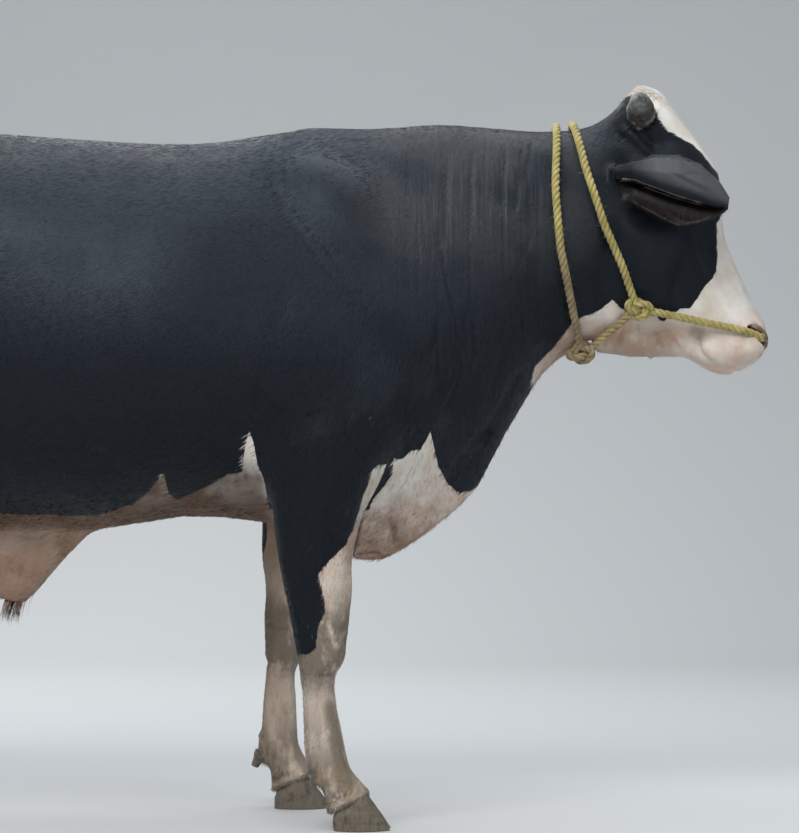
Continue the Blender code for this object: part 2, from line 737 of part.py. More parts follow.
def trimmed(obj, neighbours, helpers):
    """The object without what its neighbours and their clearance take up."""
    for other in neighbours:
        cutter = grown(other, GAP, helpers)
        boolean(obj, cutter, "DIFFERENCE")
        bpy.data.objects.remove(cutter)
    return obj


def largest_body(obj):
    """Drops the crumbs that a cut can leave."""
    bm = bmesh.new()
    bm.from_mesh(obj.data)
    bm.verts.ensure_lookup_table()
    left, groups = set(bm.verts), []
    while left:
        todo, group = [left.pop()], []
        while todo:
            vert = todo.pop()
            group.append(vert)
            for edge in vert.link_edges:
                other = edge.other_vert(vert)
                if other in left:
                    left.remove(other)
                    todo.append(other)
        groups.append(group)
    groups.sort(key=len)
    for group in groups[:-1]:
        bmesh.ops.delete(bm, geom=group, context="VERTS")
    bm.to_mesh(obj.data)
    bm.free()
    return obj


def part_body(body, helpers, parts):
    """Cuts the blended body into its named parts, and returns them by name."""
    made = {}
    for name, side in SIDES:
        inner, outer = sorted((side * 0.088, side * 0.6))
        for part, low, high in (
            ("foot", -0.1, FETLOCK_Z), ("cannon", FETLOCK_Z + CUT, CARPUS_Z),
            ("forearm", CARPUS_Z + CUT, ELBOW_Z),
        ):
            made[f"foreleg_{name}_{part}"] = carve(
                body, f"foreleg_{name}_{part}", (-0.1, inner, low), (0.56, outer, high),
                helpers, parts,
            )
        inner, outer = sorted((side * 0.060, side * 0.6))
        for part, low, high in (
            ("foot", -0.1, FETLOCK_Z), ("cannon", FETLOCK_Z + CUT, HOCK_Z),
        ):
            made[f"hindleg_{name}_{part}"] = carve(
                body, f"hindleg_{name}_{part}", (-1.4, inner, low), (-0.60, outer, high),
                helpers, parts,
            )
        made[f"hindleg_{name}_gaskin"] = carve(
            body, f"hindleg_{name}_gaskin", (-0.9, inner, -0.6), (0.0, outer, 0), helpers,
            parts, THIGH_SLOPE, (-0.600, 0, THIGH_Z),
        )
    made["scrotum"] = carve(
        body, "scrotum", (-0.95, -0.0585, 0.40), (-0.72, 0.0585, 0.760), helpers, parts,
    )
    made["sheath"] = carve(
        body, "sheath", (-0.80, -0.2, 0.30), (-0.16, 0.2, 0.612), helpers, parts,
    )
    made["head"] = carve(
        body, "head", (0, -0.5, -0.9), (0.6, 0.5, 0.9), helpers, parts, 9, (0.925, 0, 1.30),
    )
    made["lower_jaw"] = carve(
        made["head"], "lower_jaw", (-0.400, -0.3, -0.4), (0.20, 0.3, 0), helpers, parts, 31.6,
        (1.089, 0, 1.0267),
    )
    made["dewlap"] = carve(
        body, "dewlap", (-0.5, -0.3, -0.3), (0.45, 0.3, 0), helpers, parts, -42, (0.56, 0, 0.76),
    )
    made["neck"] = carve(
        body, "neck", (0, -0.6, -1.2), (0.8, 0.6, 1.2), helpers, parts, -12, (0.530, 0, 1.10),
    )
    made["forequarters"] = carve(
        body, "forequarters", (0.150, -0.6, -0.1), (1.2, 0.6, 1.8), helpers, parts,
    )
    made["hindquarters"] = carve(
        body, "hindquarters", (-1.6, -0.6, -0.1), (-0.600, 0.6, 1.8), helpers, parts,
    )
    body.name = "barrel"
    helpers.objects.unlink(body)
    parts.objects.link(body)
    made["barrel"] = body
    return made


def feet(made, parts, helpers):
    """Claws and dewclaws for the four feet."""
    for kind in ("fore", "hind"):
        heel, away = claw_rows(kind)
        for name, side in SIDES:
            x = heel + STANCE[kind, name]
            foot = made[f"{kind}leg_{name}_foot"]
            coronet(foot, x + 0.45 * CLAW_LENGTH, True)
            for which, outward in (("inner", -side), ("outer", side)):
                label = f"claw_{kind}_{name}_{which}"
                piece = claw(label, x, side * away, outward, parts)
                made[label] = coronet(piece, x + 0.45 * CLAW_LENGTH, False)
            for which, outward in (("inner", -side), ("outer", side)):
                label = f"dewclaw_{kind}_{name}_{which}"
                place = Vector((x - 0.036, side * away + outward * 0.024, 0.106))
                piece = dewclaw(label, place, outward, parts)
                made[label] = trimmed(piece, [foot], helpers)


def tail(made, parts, helpers):
    """The tail from its setting over the rump down to the switch, which is a lock of hair."""
    path = (
        (-1.090, 0, 1.442, 0.036), (-1.155, 0, 1.447, 0.034), (-1.205, 0.003, 1.418, 0.031),
        (-1.234, 0.006, 1.350, 0.027), (-1.243, 0.010, 1.250, 0.023), (-1.243, 0.014, 1.120, 0.020),
        (-1.240, 0.018, 0.960, 0.018), (-1.236, 0.020, 0.800, 0.016), (-1.234, 0.021, 0.700, 0.015),
    )
    points, taper = [Vector(r[:3]) for r in path], [r[3] for r in path]
    made["tail"] = trimmed(
        tube("tail", points, 1, parts, taper), [made["hindquarters"]], helpers
    )
    hair = (
        (-1.2335, 0.021, 0.6985, 0.015), (-1.231, 0.021, 0.640, 0.028), (-1.228, 0.022, 0.560, 0.036),
        (-1.228, 0.022, 0.480, 0.034), (-1.230, 0.022, 0.410, 0.024), (-1.232, 0.022, 0.370, 0.010),
    )
    points, taper = [Vector(r[:3]) for r in hair], [r[3] for r in hair]
    made["tail_switch"] = tube("tail_switch", points, 1, parts, taper)


def surface_of(label):
    """Colour and roughness of a piece, by what it is."""
    for words, surface in (
        (("rope", "knot"), ((0.52, 0.45, 0.18), 0.80)),
        (("claw",), ((0.16, 0.14, 0.11), 0.60)),
        (("horn",), ((0.12, 0.12, 0.12), 0.45)),
        (("eye",), ((0.03, 0.02, 0.015), 0.05)),
        (("switch", "foot", "cannon"), ((0.72, 0.66, 0.58), 0.60)),
        (("sheath", "scrotum", "lower_jaw"), ((0.55, 0.36, 0.28), 0.60)),
    ):
        if any(word in label for word in words):
            return surface
    return (0.020, 0.020, 0.022), 0.50


def main():
    for obj in list(bpy.data.objects):
        bpy.data.objects.remove(obj)
    scene = bpy.context.scene.collection
    parts = bpy.data.collections.new("bull")
    helpers = bpy.data.collections.new("helpers")
    scene.children.link(parts)
    scene.children.link(helpers)
    body = blended(lofts(helpers), helpers)
    whole = copy_of(body, "whole", helpers)
    made = part_body(body, helpers, parts)
    for name, side in SIDES:
        eye_place = head_point(*EYE[:2], side * EYE[2])
        made[f"eye_{name}"] = ball(
            f"eye_{name}", eye_place, (EYE_RADIUS,) * 3, 0, parts, segments=12
        )
        boolean(made["head"], grown(made[f"eye_{name}"], GAP, helpers), "DIFFERENCE")
        made[f"horn_{name}"] = trimmed(
            horn(f"horn_{name}", side, parts), [made["head"], made["neck"]], helpers
        )
        made[f"ear_{name}"] = trimmed(
            ear(f"ear_{name}", side, parts), [made["head"], made["neck"]], helpers
        )
    feet(made, parts, helpers)
    tail(made, parts, helpers)
    ropes = halter(whole, parts)
    made.update(ropes)
    fasten(made, helpers)
    for obj in list(helpers.objects):
        bpy.data.objects.remove(obj)
    for label, piece in made.items():
        finish(largest_body(piece), material(label, *surface_of(label)))


main()
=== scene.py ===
"""A black-and-white bull in a rope halter: the skin, coat, eyes, horns, claws and ropes of a
still, life-size model."""

import math

import bmesh
import bpy
import numpy as np
from mathutils import Matrix, Vector
from mathutils.bvhtree import BVHTree


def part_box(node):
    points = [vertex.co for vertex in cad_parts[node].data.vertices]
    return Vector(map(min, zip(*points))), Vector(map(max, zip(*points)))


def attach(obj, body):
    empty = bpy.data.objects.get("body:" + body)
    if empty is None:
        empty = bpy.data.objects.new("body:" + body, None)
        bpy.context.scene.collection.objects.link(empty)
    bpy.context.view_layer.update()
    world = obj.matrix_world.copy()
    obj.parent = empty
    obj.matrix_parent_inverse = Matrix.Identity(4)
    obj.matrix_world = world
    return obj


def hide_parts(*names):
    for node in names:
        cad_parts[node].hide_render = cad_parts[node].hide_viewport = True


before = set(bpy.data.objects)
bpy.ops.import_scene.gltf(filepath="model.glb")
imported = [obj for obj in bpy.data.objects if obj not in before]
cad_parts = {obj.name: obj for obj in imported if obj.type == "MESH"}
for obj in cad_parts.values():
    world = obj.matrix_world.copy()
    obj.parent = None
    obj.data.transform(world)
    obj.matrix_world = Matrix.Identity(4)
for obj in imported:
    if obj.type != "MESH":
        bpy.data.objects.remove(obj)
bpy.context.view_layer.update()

# ---- Stand: a plain pale floor that curves up behind, and a soft studio ----
# The floor is one rolled sheet, matt and without a seam, that is clear when seen from its
# back. The lights are wide panels: over the shoulder, low in front, overhead and behind.
FLOOR_COLOUR = (0.56, 0.57, 0.57, 1)
FLOOR_HALF = 20.0
BEND = 1.6                             # radius of the sheet's bend
BEHIND = 4.0                           # where the bend starts
WALL = 7.0                             # how far the sheet goes on above the bend


def linked(name, data):
    """A new object in the scene."""
    obj = bpy.data.objects.new(name, data)
    bpy.context.scene.collection.objects.link(obj)
    return obj


def only(kind, parts):
    return [part for part in parts if isinstance(part, kind)]


class Wire:
    """One output in a material. Sums on it add Math nodes."""

    def __init__(self, tree, socket):
        self.tree, self.socket = tree, socket

    def maths(self, kind, *others):
        return add(self.tree, "Math", {"operation": kind}, dict(enumerate((self, *others))))

    def vector(self, kind, *others, out=0):
        """Vector Math on this place; out is 1 for the kinds that give a number."""
        return add(self.tree, "VectorMath", {"operation": kind}, dict(enumerate((self, *others))), out)

    def parts(self):
        return [add(self.tree, "SeparateXYZ", {}, {0: self}, n) for n in range(3)]

    def ramp(self, start, end):
        """0 before start and 1 past end."""
        limits = {0: self, 1: start, 2: end, 3: 0, 4: 1}
        return add(self.tree, "MapRange", {"interpolation_type": "SMOOTHSTEP"}, limits)

    def under(self, level, soft):
        """1 well under a level and 0 above it, with a soft stretch just under it."""
        return (level - self).ramp(0, soft)

    def border(self, low, high, bottom, top, spots):
        """Reads a given border: spots are places and levels between the given limits."""
        share = (self - low) / (high - low)
        curve = [((at - low) / (high - low), (level - bottom) / (top - bottom)) for at, level in spots]
        return add(self.tree, "FloatCurve", {"curve": curve}, {"Value": share}) * (top - bottom) + bottom

    __add__ = __radd__ = lambda self, other: self.maths("ADD", other)
    __mul__ = __rmul__ = lambda self, other: self.maths("MULTIPLY", other)
    __sub__ = lambda self, other: self.maths("SUBTRACT", other)
    __rsub__ = lambda self, other: add(self.tree, "Math", {"operation": "SUBTRACT"}, {0: other, 1: self})
    __truediv__ = lambda self, other: self.maths("DIVIDE", other)
    __gt__ = lambda self, other: self.maths("GREATER_THAN", other)
    __lt__ = lambda self, other: self.maths("LESS_THAN", other)
    __or__ = lambda self, other: self.maths("MAXIMUM", other)
    __and__ = lambda self, other: self.maths("MINIMUM", other)
    __abs__ = lambda self: self.maths("ABSOLUTE")


def add(tree, kind, settings, inputs, out=0):
    """Adds a node to a material: its settings first, then the values or links of its inputs."""
    node = tree.nodes.new("ShaderNode" + kind)
    for key, value in settings.items():
        if key == "curve":
            points = node.mapping.curves[0].points
            for n, spot in enumerate(value):
                point = points[n] if n < 2 else points.new(*spot)
                point.location = spot
            for point in points:
                point.handle_type = "VECTOR"
            node.mapping.extend = "HORIZONTAL"
            node.mapping.update()
        else:
            setattr(node, key, value)
    for key, value in inputs.items():
        if isinstance(value, Wire):
            tree.links.new(value.socket, node.inputs[key])
        else:
            node.inputs[key].default_value = (*value, 1) if node.inputs[key].type == "RGBA" else value
    return Wire(tree, node.outputs[out])


def finish(name, roughness, specular, coat=0.0, sheen=0.0):
    """A new material, its node tree and its shader."""
    material = bpy.data.materials.new(name)
    material.use_nodes = True
    shader = material.node_tree.nodes["Principled BSDF"]
    shader.inputs["Roughness"].default_value = roughness
    shader.inputs["Specular IOR Level"].default_value = specular
    shader.inputs["Coat Weight"].default_value = coat
    shader.inputs["Sheen Weight"].default_value = sheen
    return material, material.node_tree, shader


def join(value, shader, socket):
    value.tree.links.new(value.socket, shader.inputs[socket])


bm = bmesh.new()
front_edge = [bm.verts.new((x, -FLOOR_HALF, 0)) for x in (-FLOOR_HALF, FLOOR_HALF)]
run = bmesh.ops.extrude_edge_only(bm, edges=[bm.edges.new(front_edge)])["geom"]
back = only(bmesh.types.BMVert, run)
bmesh.ops.translate(bm, verts=back, vec=(0, FLOOR_HALF + BEHIND, 0))
bend_from = [e for e in only(bmesh.types.BMEdge, run) if all(v in back for v in e.verts)]
turned = bmesh.ops.spin(
    bm, geom=back + bend_from, cent=(0, BEHIND, BEND), axis=(1, 0, 0), angle=math.pi / 2, steps=24)
rise = bmesh.ops.extrude_edge_only(bm, edges=only(bmesh.types.BMEdge, turned["geom_last"]))["geom"]
bmesh.ops.translate(bm, verts=only(bmesh.types.BMVert, rise), vec=(0, 0, WALL))
bmesh.ops.recalc_face_normals(bm, faces=bm.faces)
if min(bm.faces, key=lambda face: face.calc_center_median().z).normal.z < 0:
    bmesh.ops.reverse_faces(bm, faces=bm.faces)
floor = linked("floor", bpy.data.meshes.new("floor"))
bm.to_mesh(floor.data)
bm.free()
floor.data.shade_smooth()
paint, tree, matt = finish("floor paint", 0.9, 0.5)
matt.inputs["Base Color"].default_value = FLOOR_COLOUR
back_of_sheet = add(tree, "NewGeometry", {}, {}, "Backfacing")
clear = add(tree, "BsdfTransparent", {}, {})
both = add(tree, "MixShader", {}, {0: back_of_sheet, 1: Wire(tree, matt.outputs[0]), 2: clear})
join(both, tree.nodes["Material Output"], "Surface")
floor.data.materials.append(paint)

for name, place, towards, size, power, colour in (
    ("key", (-1.6, -4.0, 4.8), (0.1, 0, 1.0), 3.5, 270, (1, 1, 1)),
    ("fill", (4.2, -4.6, 2.4), (0.4, 0, 0.9), 3.0, 62, (1, 1, 1)),
    ("overhead", (0.2, 0.6, 4.6), (0.1, 0, 1.0), 4.0, 135, (0.90, 0.95, 1.0)),
    ("far side", (-1.5, 4.2, 3.2), (0, 0, 0.9), 3.0, 80, (1, 1, 1)),
):
    panel = linked(name, bpy.data.lights.new(name, "AREA"))
    panel.visible_camera = False
    panel.data.size, panel.data.energy, panel.data.color = size, power, colour
    panel.location = place
    panel.rotation_euler = (Vector(towards) - Vector(place)).to_track_quat("-Z", "Y").to_euler()
sky = bpy.data.worlds.new("studio")
bpy.context.scene.world = sky
sky.use_nodes = True
sky.node_tree.nodes["Background"].inputs["Color"].default_value = (0.80, 0.86, 0.95, 1)
sky.node_tree.nodes["Background"].inputs["Strength"].default_value = 0.36
bpy.context.scene.view_settings.view_transform = "Standard"

# The camera stands level, at the height of the animal's elbow, well off its right side.
camera = linked("camera", bpy.data.cameras.new("camera"))
camera.data.sensor_width, camera.data.lens = 36, 129.65
camera.location = (0.459, -6.5, 0.869)
camera.rotation_euler = (math.pi / 2, 0, 0)
bpy.context.scene.camera = camera

# ---- Skin: one hide over the whole body ----
# The flesh is one closed skin, grown together from the parts of the body, then smoothed,
# drawn in by the depth of the coat and modelled: muscle, folds, veins, eye sockets, mouth.
GRAIN = 0.0034
OVERLAP = 0.0012                       # how far the parts are grown so that they meet
COAT_DEPTH = 0.0030
SKIN_TRIANGLES = 186000
SIDES = (("right", -1), ("left", 1))
TRUNK = ["barrel", "forequarters", "hindquarters", "neck", "dewlap", "head", "lower_jaw"]
LEG_LENGTHS = (
    "foreleg_{}_forearm", "foreleg_{}_cannon", "foreleg_{}_foot",
    "hindleg_{}_gaskin", "hindleg_{}_cannon", "hindleg_{}_foot",
)
LEGS = [length.format(side) for side, _ in SIDES for length in LEG_LENGTHS]
FLESH = [*TRUNK, "sheath", "scrotum", "tail", "ear_right", "ear_left", *LEGS]
POLL = Vector((0.992, 0, 1.584))
FACE = math.radians(62)                # the face points this far below the horizon
ALONG = np.array((math.cos(FACE), 0, -math.sin(FACE)))
OUTWARD = np.array((math.sin(FACE), 0, math.cos(FACE)))
EYE_PLACE = Vector((1.074, 0.100, 1.331))


def on_head(down, out, side):
    """A place on the head: down the face from the poll, out of its line, and off the middle."""
    return np.array(POLL) + ALONG * down + OUTWARD * out + np.array((0, side, 0))


def gathered(names, grow=0.0):
    """Copies of these parts of the frame in one mesh, each welded and grown a little."""
    bm = bmesh.new()
    for name in names:
        bm.from_mesh(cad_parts[name].data)
    bmesh.ops.remove_doubles(bm, verts=bm.verts, dist=1e-5)
    bm.normal_update()
    for v in bm.verts:
        v.co += v.normal * grow
    return bm


def piece(name, mesh):
    """The mesh as a piece of its own, riding on the body."""
    obj = linked(name, mesh)
    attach(obj, "root")
    return obj


def laid(name, bm):
    """The modelled shape as a smooth piece."""
    mesh = bpy.data.meshes.new(name)
    bm.to_mesh(mesh)
    bm.free()
    mesh.shade_smooth()
    return piece(name, mesh)


def settle(obj):
    """Makes the object's modifiers part of its mesh."""
    bpy.context.view_layer.update()
    shown = obj.evaluated_get(bpy.context.evaluated_depsgraph_get())
    final = bpy.data.meshes.new_from_object(shown)
    obj.modifiers.clear()
    old = obj.data
    obj.data = final
    bpy.data.meshes.remove(old)


def rows_of(rows, value, width, kind=np.float32):
    """One value of each row of a mesh's data, as an array."""
    found = np.empty(len(rows) * width, kind)
    rows.foreach_get(value, found)
    return found.reshape(-1, width)


def places(mesh):
    """Where the mesh's points are, as rows of x, y and z."""
    return rows_of(mesh.vertices, "co", 3).astype(float)


def facing(mesh):
    """The normals at the mesh's points."""
    return rows_of(mesh.vertex_normals, "vector", 3).astype(float)


def put(mesh, points):
    mesh.vertices.foreach_set("co", points.astype(np.float32).ravel())
    mesh.update()


def rising(values, start, end):
    """0 before start and 1 past end, with a smooth rise between."""
    share = np.clip((values - start) / (end - start), 0, 1)
    return share * share * (3 - 2 * share)


def weighted(obj, name, weights):
    """A vertex group whose weights come in 40 steps."""
    group = obj.vertex_groups.new(name=name)
    steps = np.round(np.clip(weights, 0, 1) * 40).astype(int)
    for step in np.unique(steps):
        group.add(np.nonzero(steps == step)[0].tolist(), step / 40, "REPLACE")


def part_shares(points):
    """How far each point belongs to the head, neck and legs."""
    x, side, z = points[:, 0], np.abs(points[:, 1]), points[:, 2]
    head = rising(x - 0.925 - 0.158 * (z - 1.3), -0.03, 0.03)
    neck = rising(x, 0.36, 0.46) * rising(z, 0.80, 0.95) * (1 - head)
    leg = rising(0.64 - z, 0.0, 0.10) * rising(side, 0.085, 0.11)
    return head, neck, leg


def ear_share(points):
    """1 on the ears and 0 off them."""
    share = np.zeros(len(points))
    for name, side in SIDES:
        low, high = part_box("ear_" + name)
        bm = gathered(["ear_" + name])
        tree = BVHTree.FromBMesh(bm)
        bm.free()
        near = np.all((points > np.array(low) - 0.012) & (points < np.array(high) + 0.012), axis=1)
        for n in np.nonzero(near)[0]:
            share[n] = max(share[n], 1 - tree.find_nearest(points[n])[3] / 0.011)
    return np.clip(share * 1.6, 0, 1)


def grown_together(obj, grain):
    """Makes one closed skin of the object's overlapping parts."""
    blend = obj.modifiers.new("one piece", "REMESH")
    blend.mode, blend.voxel_size, blend.adaptivity = "VOXEL", grain, 0
    settle(obj)


def softened(obj, times, shares):
    """Eases the skin's unevenness out, each point by its own share."""
    weighted(obj, "soften", shares)
    ease = obj.modifiers.new("soften", "SMOOTH")
    ease.factor, ease.iterations, ease.vertex_group = 0.5, times, "soften"
    settle(obj)
    obj.vertex_groups.clear()


skin = laid("skin", gathered([name for name in FLESH if not name.startswith("ear")], OVERLAP))
grown_together(skin, 2.2 * GRAIN)
points = places(skin.data)
head, neck, leg = part_shares(points)
tail = rising(-1.205 - points[:, 0], -0.01, 0.02) * rising(1.44 - points[:, 2], 0, 0.1)
softened(skin, 44, np.clip(1 - 0.72 * head - 0.74 * leg - 0.15 * neck - 0.8 * tail, 0.12, 1))
bm = gathered(["ear_right", "ear_left"], OVERLAP)
bm.from_mesh(skin.data)
bm.to_mesh(skin.data)
bm.free()
grown_together(skin, GRAIN)
points = places(skin.data)
head, neck, leg = part_shares(points)
ears = ear_share(points)
softened(skin, 12, 1 - 0.75 * ears)
points = places(skin.data)
depth = OVERLAP + COAT_DEPTH * (1 - 0.45 * head - 0.2 * leg) * (1 - ears)
points -= facing(skin.data) * depth[:, None]
put(skin.data, points)


def stroke(line, width, height, side=0, fade=0.3):
    """Raises the skin along a line, or sinks it where the height is negative. Places are x and
    height as seen from the side, or whole places. The line fades in and out at its ends."""
    line = np.array(line, float)
    for _ in range(2):
        cuts = [share * a + (1 - share) * b for a, b in zip(line, line[1:]) for share in (0.75, 0.25)]
        line = np.array([line[0], *cuts, line[-1]])
    axes = [0, 2] if line.shape[1] == 2 else [0, 1, 2]
    reach = 2.4 * width
    low, high = line.min(0) - reach, line.max(0) + reach
    for mirrored in (side,) if side else (-1, 1):
        own = points * np.array((1, mirrored, 1))
        near = np.all((own[:, axes] > low) & (own[:, axes] < high), axis=1) & (own[:, 1] > -0.004)
        index = np.nonzero(near)[0]
        spots = own[index][:, axes]
        nearest = np.full(len(index), 9.0)
        share = np.zeros(len(index))
        for n, (a, b) in enumerate(zip(line, line[1:])):
            along = np.clip((spots - a) @ (b - a) / max(1e-9, (b - a) @ (b - a)), 0, 1)
            gap = np.linalg.norm(spots - a - along[:, None] * (b - a), axis=1)
            closer = gap < nearest
            nearest = np.where(closer, gap, nearest)
            share = np.where(closer, (n + along) / (len(line) - 1), share)
        ends = rising(np.minimum(share, 1 - share), 0, fade) if fade else 1
        lift = height * np.exp(-(nearest / width) ** 2) * ends
        points[index] += normals[index] * lift[:, None]


def strokes(*rows, side=0, along=0.0):
    """Strokes in turn: each row is a width, a height and its places, all moved along the body."""
    for width, height, *line in rows:
        stroke([(x + along, *rest) for x, *rest in line], width, height, side)


def swell(place, radii, height, side=0):
    """Raises or sinks a rounded patch of skin on one side or on both."""
    for mirrored in (side,) if side else (-1, 1):
        middle = np.array(place) * np.array((1, mirrored, 1))
        apart = (points - middle) / np.array(radii)
        near = np.nonzero(np.abs(apart).max(1) < 2.4)[0]
        lift = height * np.exp(-(apart[near] ** 2).sum(1))
        points[near] += normals[near] * lift[:, None]


# Broad forms of the trunk: blade and arm, ribs, flank, hip bones, thigh and the tail's root.
points, normals = places(skin.data), facing(skin.data)
strokes(
    (0.034, -0.006, (0.14, 1.40), (0.25, 1.28), (0.37, 1.11), (0.44, 0.98)),
    (0.045, 0.005, (0.22, 1.44), (0.33, 1.31), (0.43, 1.16), (0.50, 0.99)),
    (0.018, -0.007, (0.233, 1.16), (0.176, 1.02), (0.153, 0.85)),
    (0.012, -0.005, (0.214, 0.90), (0.180, 0.82), (0.160, 0.76)),
    (0.050, 0.007, (0.30, 1.13), (0.27, 1.00), (0.25, 0.88)),
    (0.022, -0.005, (0.35, 0.99), (0.33, 0.88), (0.36, 0.79)),
)
swell((0.235, 0.26, 0.775), (0.035, 0.10, 0.030), 0.006)
swell((0.43, 0.25, 0.90), (0.050, 0.14, 0.055), 0.008)
for n in range(7):
    rib = -0.02 - 0.082 * n
    stroke([(rib, 1.30), (rib - 0.012, 1.10), (rib + 0.016, 0.88)], 0.020, -0.0016)
for n in range(9):
    crease = 0.050 + 0.012 * n
    upper, lower = (crease + 0.006, 1.27 - 0.008 * (n % 3)), (crease + 0.004, 1.06 + 0.02 * (n % 4))
    stroke([upper, (crease, 1.17), lower], 0.0042, -0.0011)
swell((-0.50, 0.27, 1.335), (0.085, 0.14, 0.060), -0.016)
swell((-0.625, 0.25, 1.405), (0.050, 0.08, 0.040), 0.010)
swell((-1.175, 0.13, 1.345), (0.040, 0.06, 0.040), 0.012)
strokes(
    (0.020, -0.0085, (-1.13, 1.27), (-1.10, 1.08), (-1.07, 0.90), (-1.08, 0.78)),
    (0.030, -0.005, (-0.95, 1.28), (-0.86, 1.10), (-0.83, 0.92)),
    (0.026, -0.006, (-0.59, 1.06), (-0.63, 0.88), (-0.70, 0.76)),
    (0.016, 0.007, (-0.56, 0.92), (-0.60, 0.80), (-0.66, 0.70)),
    (0.016, -0.008, (-1.12, 0.06, 1.47), (-1.19, 0.055, 1.42), (-1.21, 0.045, 1.34)),
    (0.030, -0.003, (-0.20, 0.0, 1.50), (-0.60, 0.0, 1.50), (-1.00, 0.0, 1.50)),
)
# A vein of the belly, and the loose skin where the leg meets the belly.
vein = [(0.14, 0.215, 0.70), (0.02, 0.20, 0.675), (-0.12, 0.185, 0.665), (-0.26, 0.16, 0.645)]
stroke(vein, 0.0075, 0.0045)
for n in range(6):
    slack = [(0.145 - 0.017 * n, 0.80 - 0.018 * n), (0.165 - 0.022 * n, 0.72 - 0.006 * n)]
    stroke(slack, 0.0065, -0.003)
# Brisket: a soft flap with long folds that hang from the throat and gather at its tip.
strokes(
    (0.013, 0.0085, (0.53, 0.83), (0.50, 0.78), (0.46, 0.70), (0.43, 0.63)),
    (0.008, -0.0075, (0.51, 0.80), (0.475, 0.73), (0.44, 0.66)),
    (0.012, -0.0075, (0.60, 0.80), (0.56, 0.72), (0.52, 0.65)),
    (0.014, -0.0045, (0.66, 0.86), (0.61, 0.78), (0.57, 0.70)),
    (0.008, -0.009, (0.435, 0.655), (0.450, 0.625), (0.432, 0.595)),
    (0.005, -0.0075, (0.368, 0.578), (0.396, 0.570), (0.424, 0.580)),
    (0.006, -0.0045, (0.372, 0.604), (0.410, 0.598), (0.436, 0.604)),
    (0.010, -0.004, (0.72, 0.97), (0.68, 0.89), (0.63, 0.80)),
)
swell((0.868, 0.0, 1.012), (0.040, 0.075, 0.026), 0.009, -1)
# Neck: fine upright folds where the skin gathers as the head is held up.
FOLD = (0.005, -0.003)                 # half width and depth
strokes(
    (*FOLD, (0.559, 1.425), (0.557, 1.324), (0.554, 1.223)),
    (*FOLD, (0.536, 1.294), (0.554, 1.157), (0.574, 1.072), (0.589, 1.01)),
    (*FOLD, (0.612, 1.445), (0.607, 1.324), (0.605, 1.203), (0.607, 1.122), (0.592, 0.971)),
    (*FOLD, (0.685, 1.460), (0.678, 1.384), (0.672, 1.31)),
    (*FOLD, (0.723, 1.465), (0.711, 1.359), (0.70, 1.29)),
    (*FOLD, (0.740, 1.465), (0.722, 1.359)),
    (*FOLD, (0.534, 1.072), (0.541, 0.941)),
    (*FOLD, (0.584, 1.02), (0.592, 0.956), (0.549, 0.87)),
    (*FOLD, (0.615, 1.072), (0.617, 0.991)),
    (*FOLD, (0.685, 1.077), (0.670, 1.02)),
    (*FOLD, (0.741, 1.253), (0.70, 1.172), (0.68, 1.107)),
)
dice = np.random.default_rng(7)
for n in range(26):
    at = 0.475 + 0.0110 * n + dice.uniform(-0.003, 0.003)
    high_end = dice.uniform(1.30, 1.46)
    length = dice.uniform(0.22, 0.36)
    sway = dice.uniform(-0.006, 0.006, 2)
    line = [(at, high_end), (at + sway[0], high_end - length / 2), (at + sway[1], high_end - length)]
    stroke(line, 0.0044, -dice.uniform(0.0008, 0.0016))
for n in range(16):
    at = 0.50 + 0.014 * n + dice.uniform(-0.005, 0.005)
    high_end = dice.uniform(0.98, 1.10) + 0.25 * (at - 0.5)
    line = [(at, high_end), (at - 0.012, high_end - 0.06), (at - 0.045, high_end - 0.14)]
    stroke(line, 0.0055, -dice.uniform(0.0010, 0.0018))
for n in range(5):
    stroke([(0.46 + 0.05 * n, 0.004, 1.50), (0.47 + 0.05 * n, 0.05, 1.48)], 0.008, -0.0025)
put(skin.data, points)

# Legs: tendons behind the shin bones, the knee, the hock and the fetlocks.
points, normals = places(skin.data), facing(skin.data)
for side, shift in ((-1, 0.0), (1, -0.138)):
    tendon = [(0.300 + shift, 0.335), (0.286 + shift, 0.25), (0.285 + shift, 0.165)]
    stroke(tendon, 0.0085, -0.005, side, 0.15)
    strokes((0.012, -0.005, (0.325, 0.64), (0.300, 0.53), (0.285, 0.43)), side=side, along=shift)
    swell((0.325 + shift, 0.20, 0.365), (0.022, 0.05, 0.024), 0.005, side)
    for y in (0.154, 0.206):
        swell((0.296 + shift, y, 0.112), (0.014, 0.015, 0.018), 0.015, side)
    strokes(
        (0.008, -0.003, (0.30, 0.405), (0.325, 0.398), (0.350, 0.402)),
        (0.007, -0.003, (0.29, 0.330), (0.318, 0.326), (0.345, 0.330)),
        (0.006, -0.0028, (0.315, 0.118), (0.335, 0.105), (0.360, 0.098)),
        (0.006, 0.0028, (0.39, 0.64), (0.366, 0.56), (0.352, 0.48), (0.330, 0.42)),
        side=side, along=shift,
    )
for side, shift in ((-1, 0.050), (1, -0.045)):
    tendon = [(-1.095 + shift, 0.44), (-1.083 + shift, 0.32), (-1.068 + shift, 0.17)]
    stroke(tendon, 0.009, -0.0055, side, 0.15)
    strokes((0.013, -0.008, (-1.135, 0.66), (-1.145, 0.58), (-1.150, 0.52)), side=side, along=shift)
    swell((-1.085 + shift, 0.19, 0.515), (0.026, 0.05, 0.030), 0.006, side)
    for y in (0.160, 0.208):
        swell((-1.036 + shift, y, 0.112), (0.014, 0.015, 0.018), 0.015, side)
    strokes((0.006, -0.0028, (-1.035, 0.118), (-1.015, 0.105), (-0.990, 0.098)), side=side, along=shift)
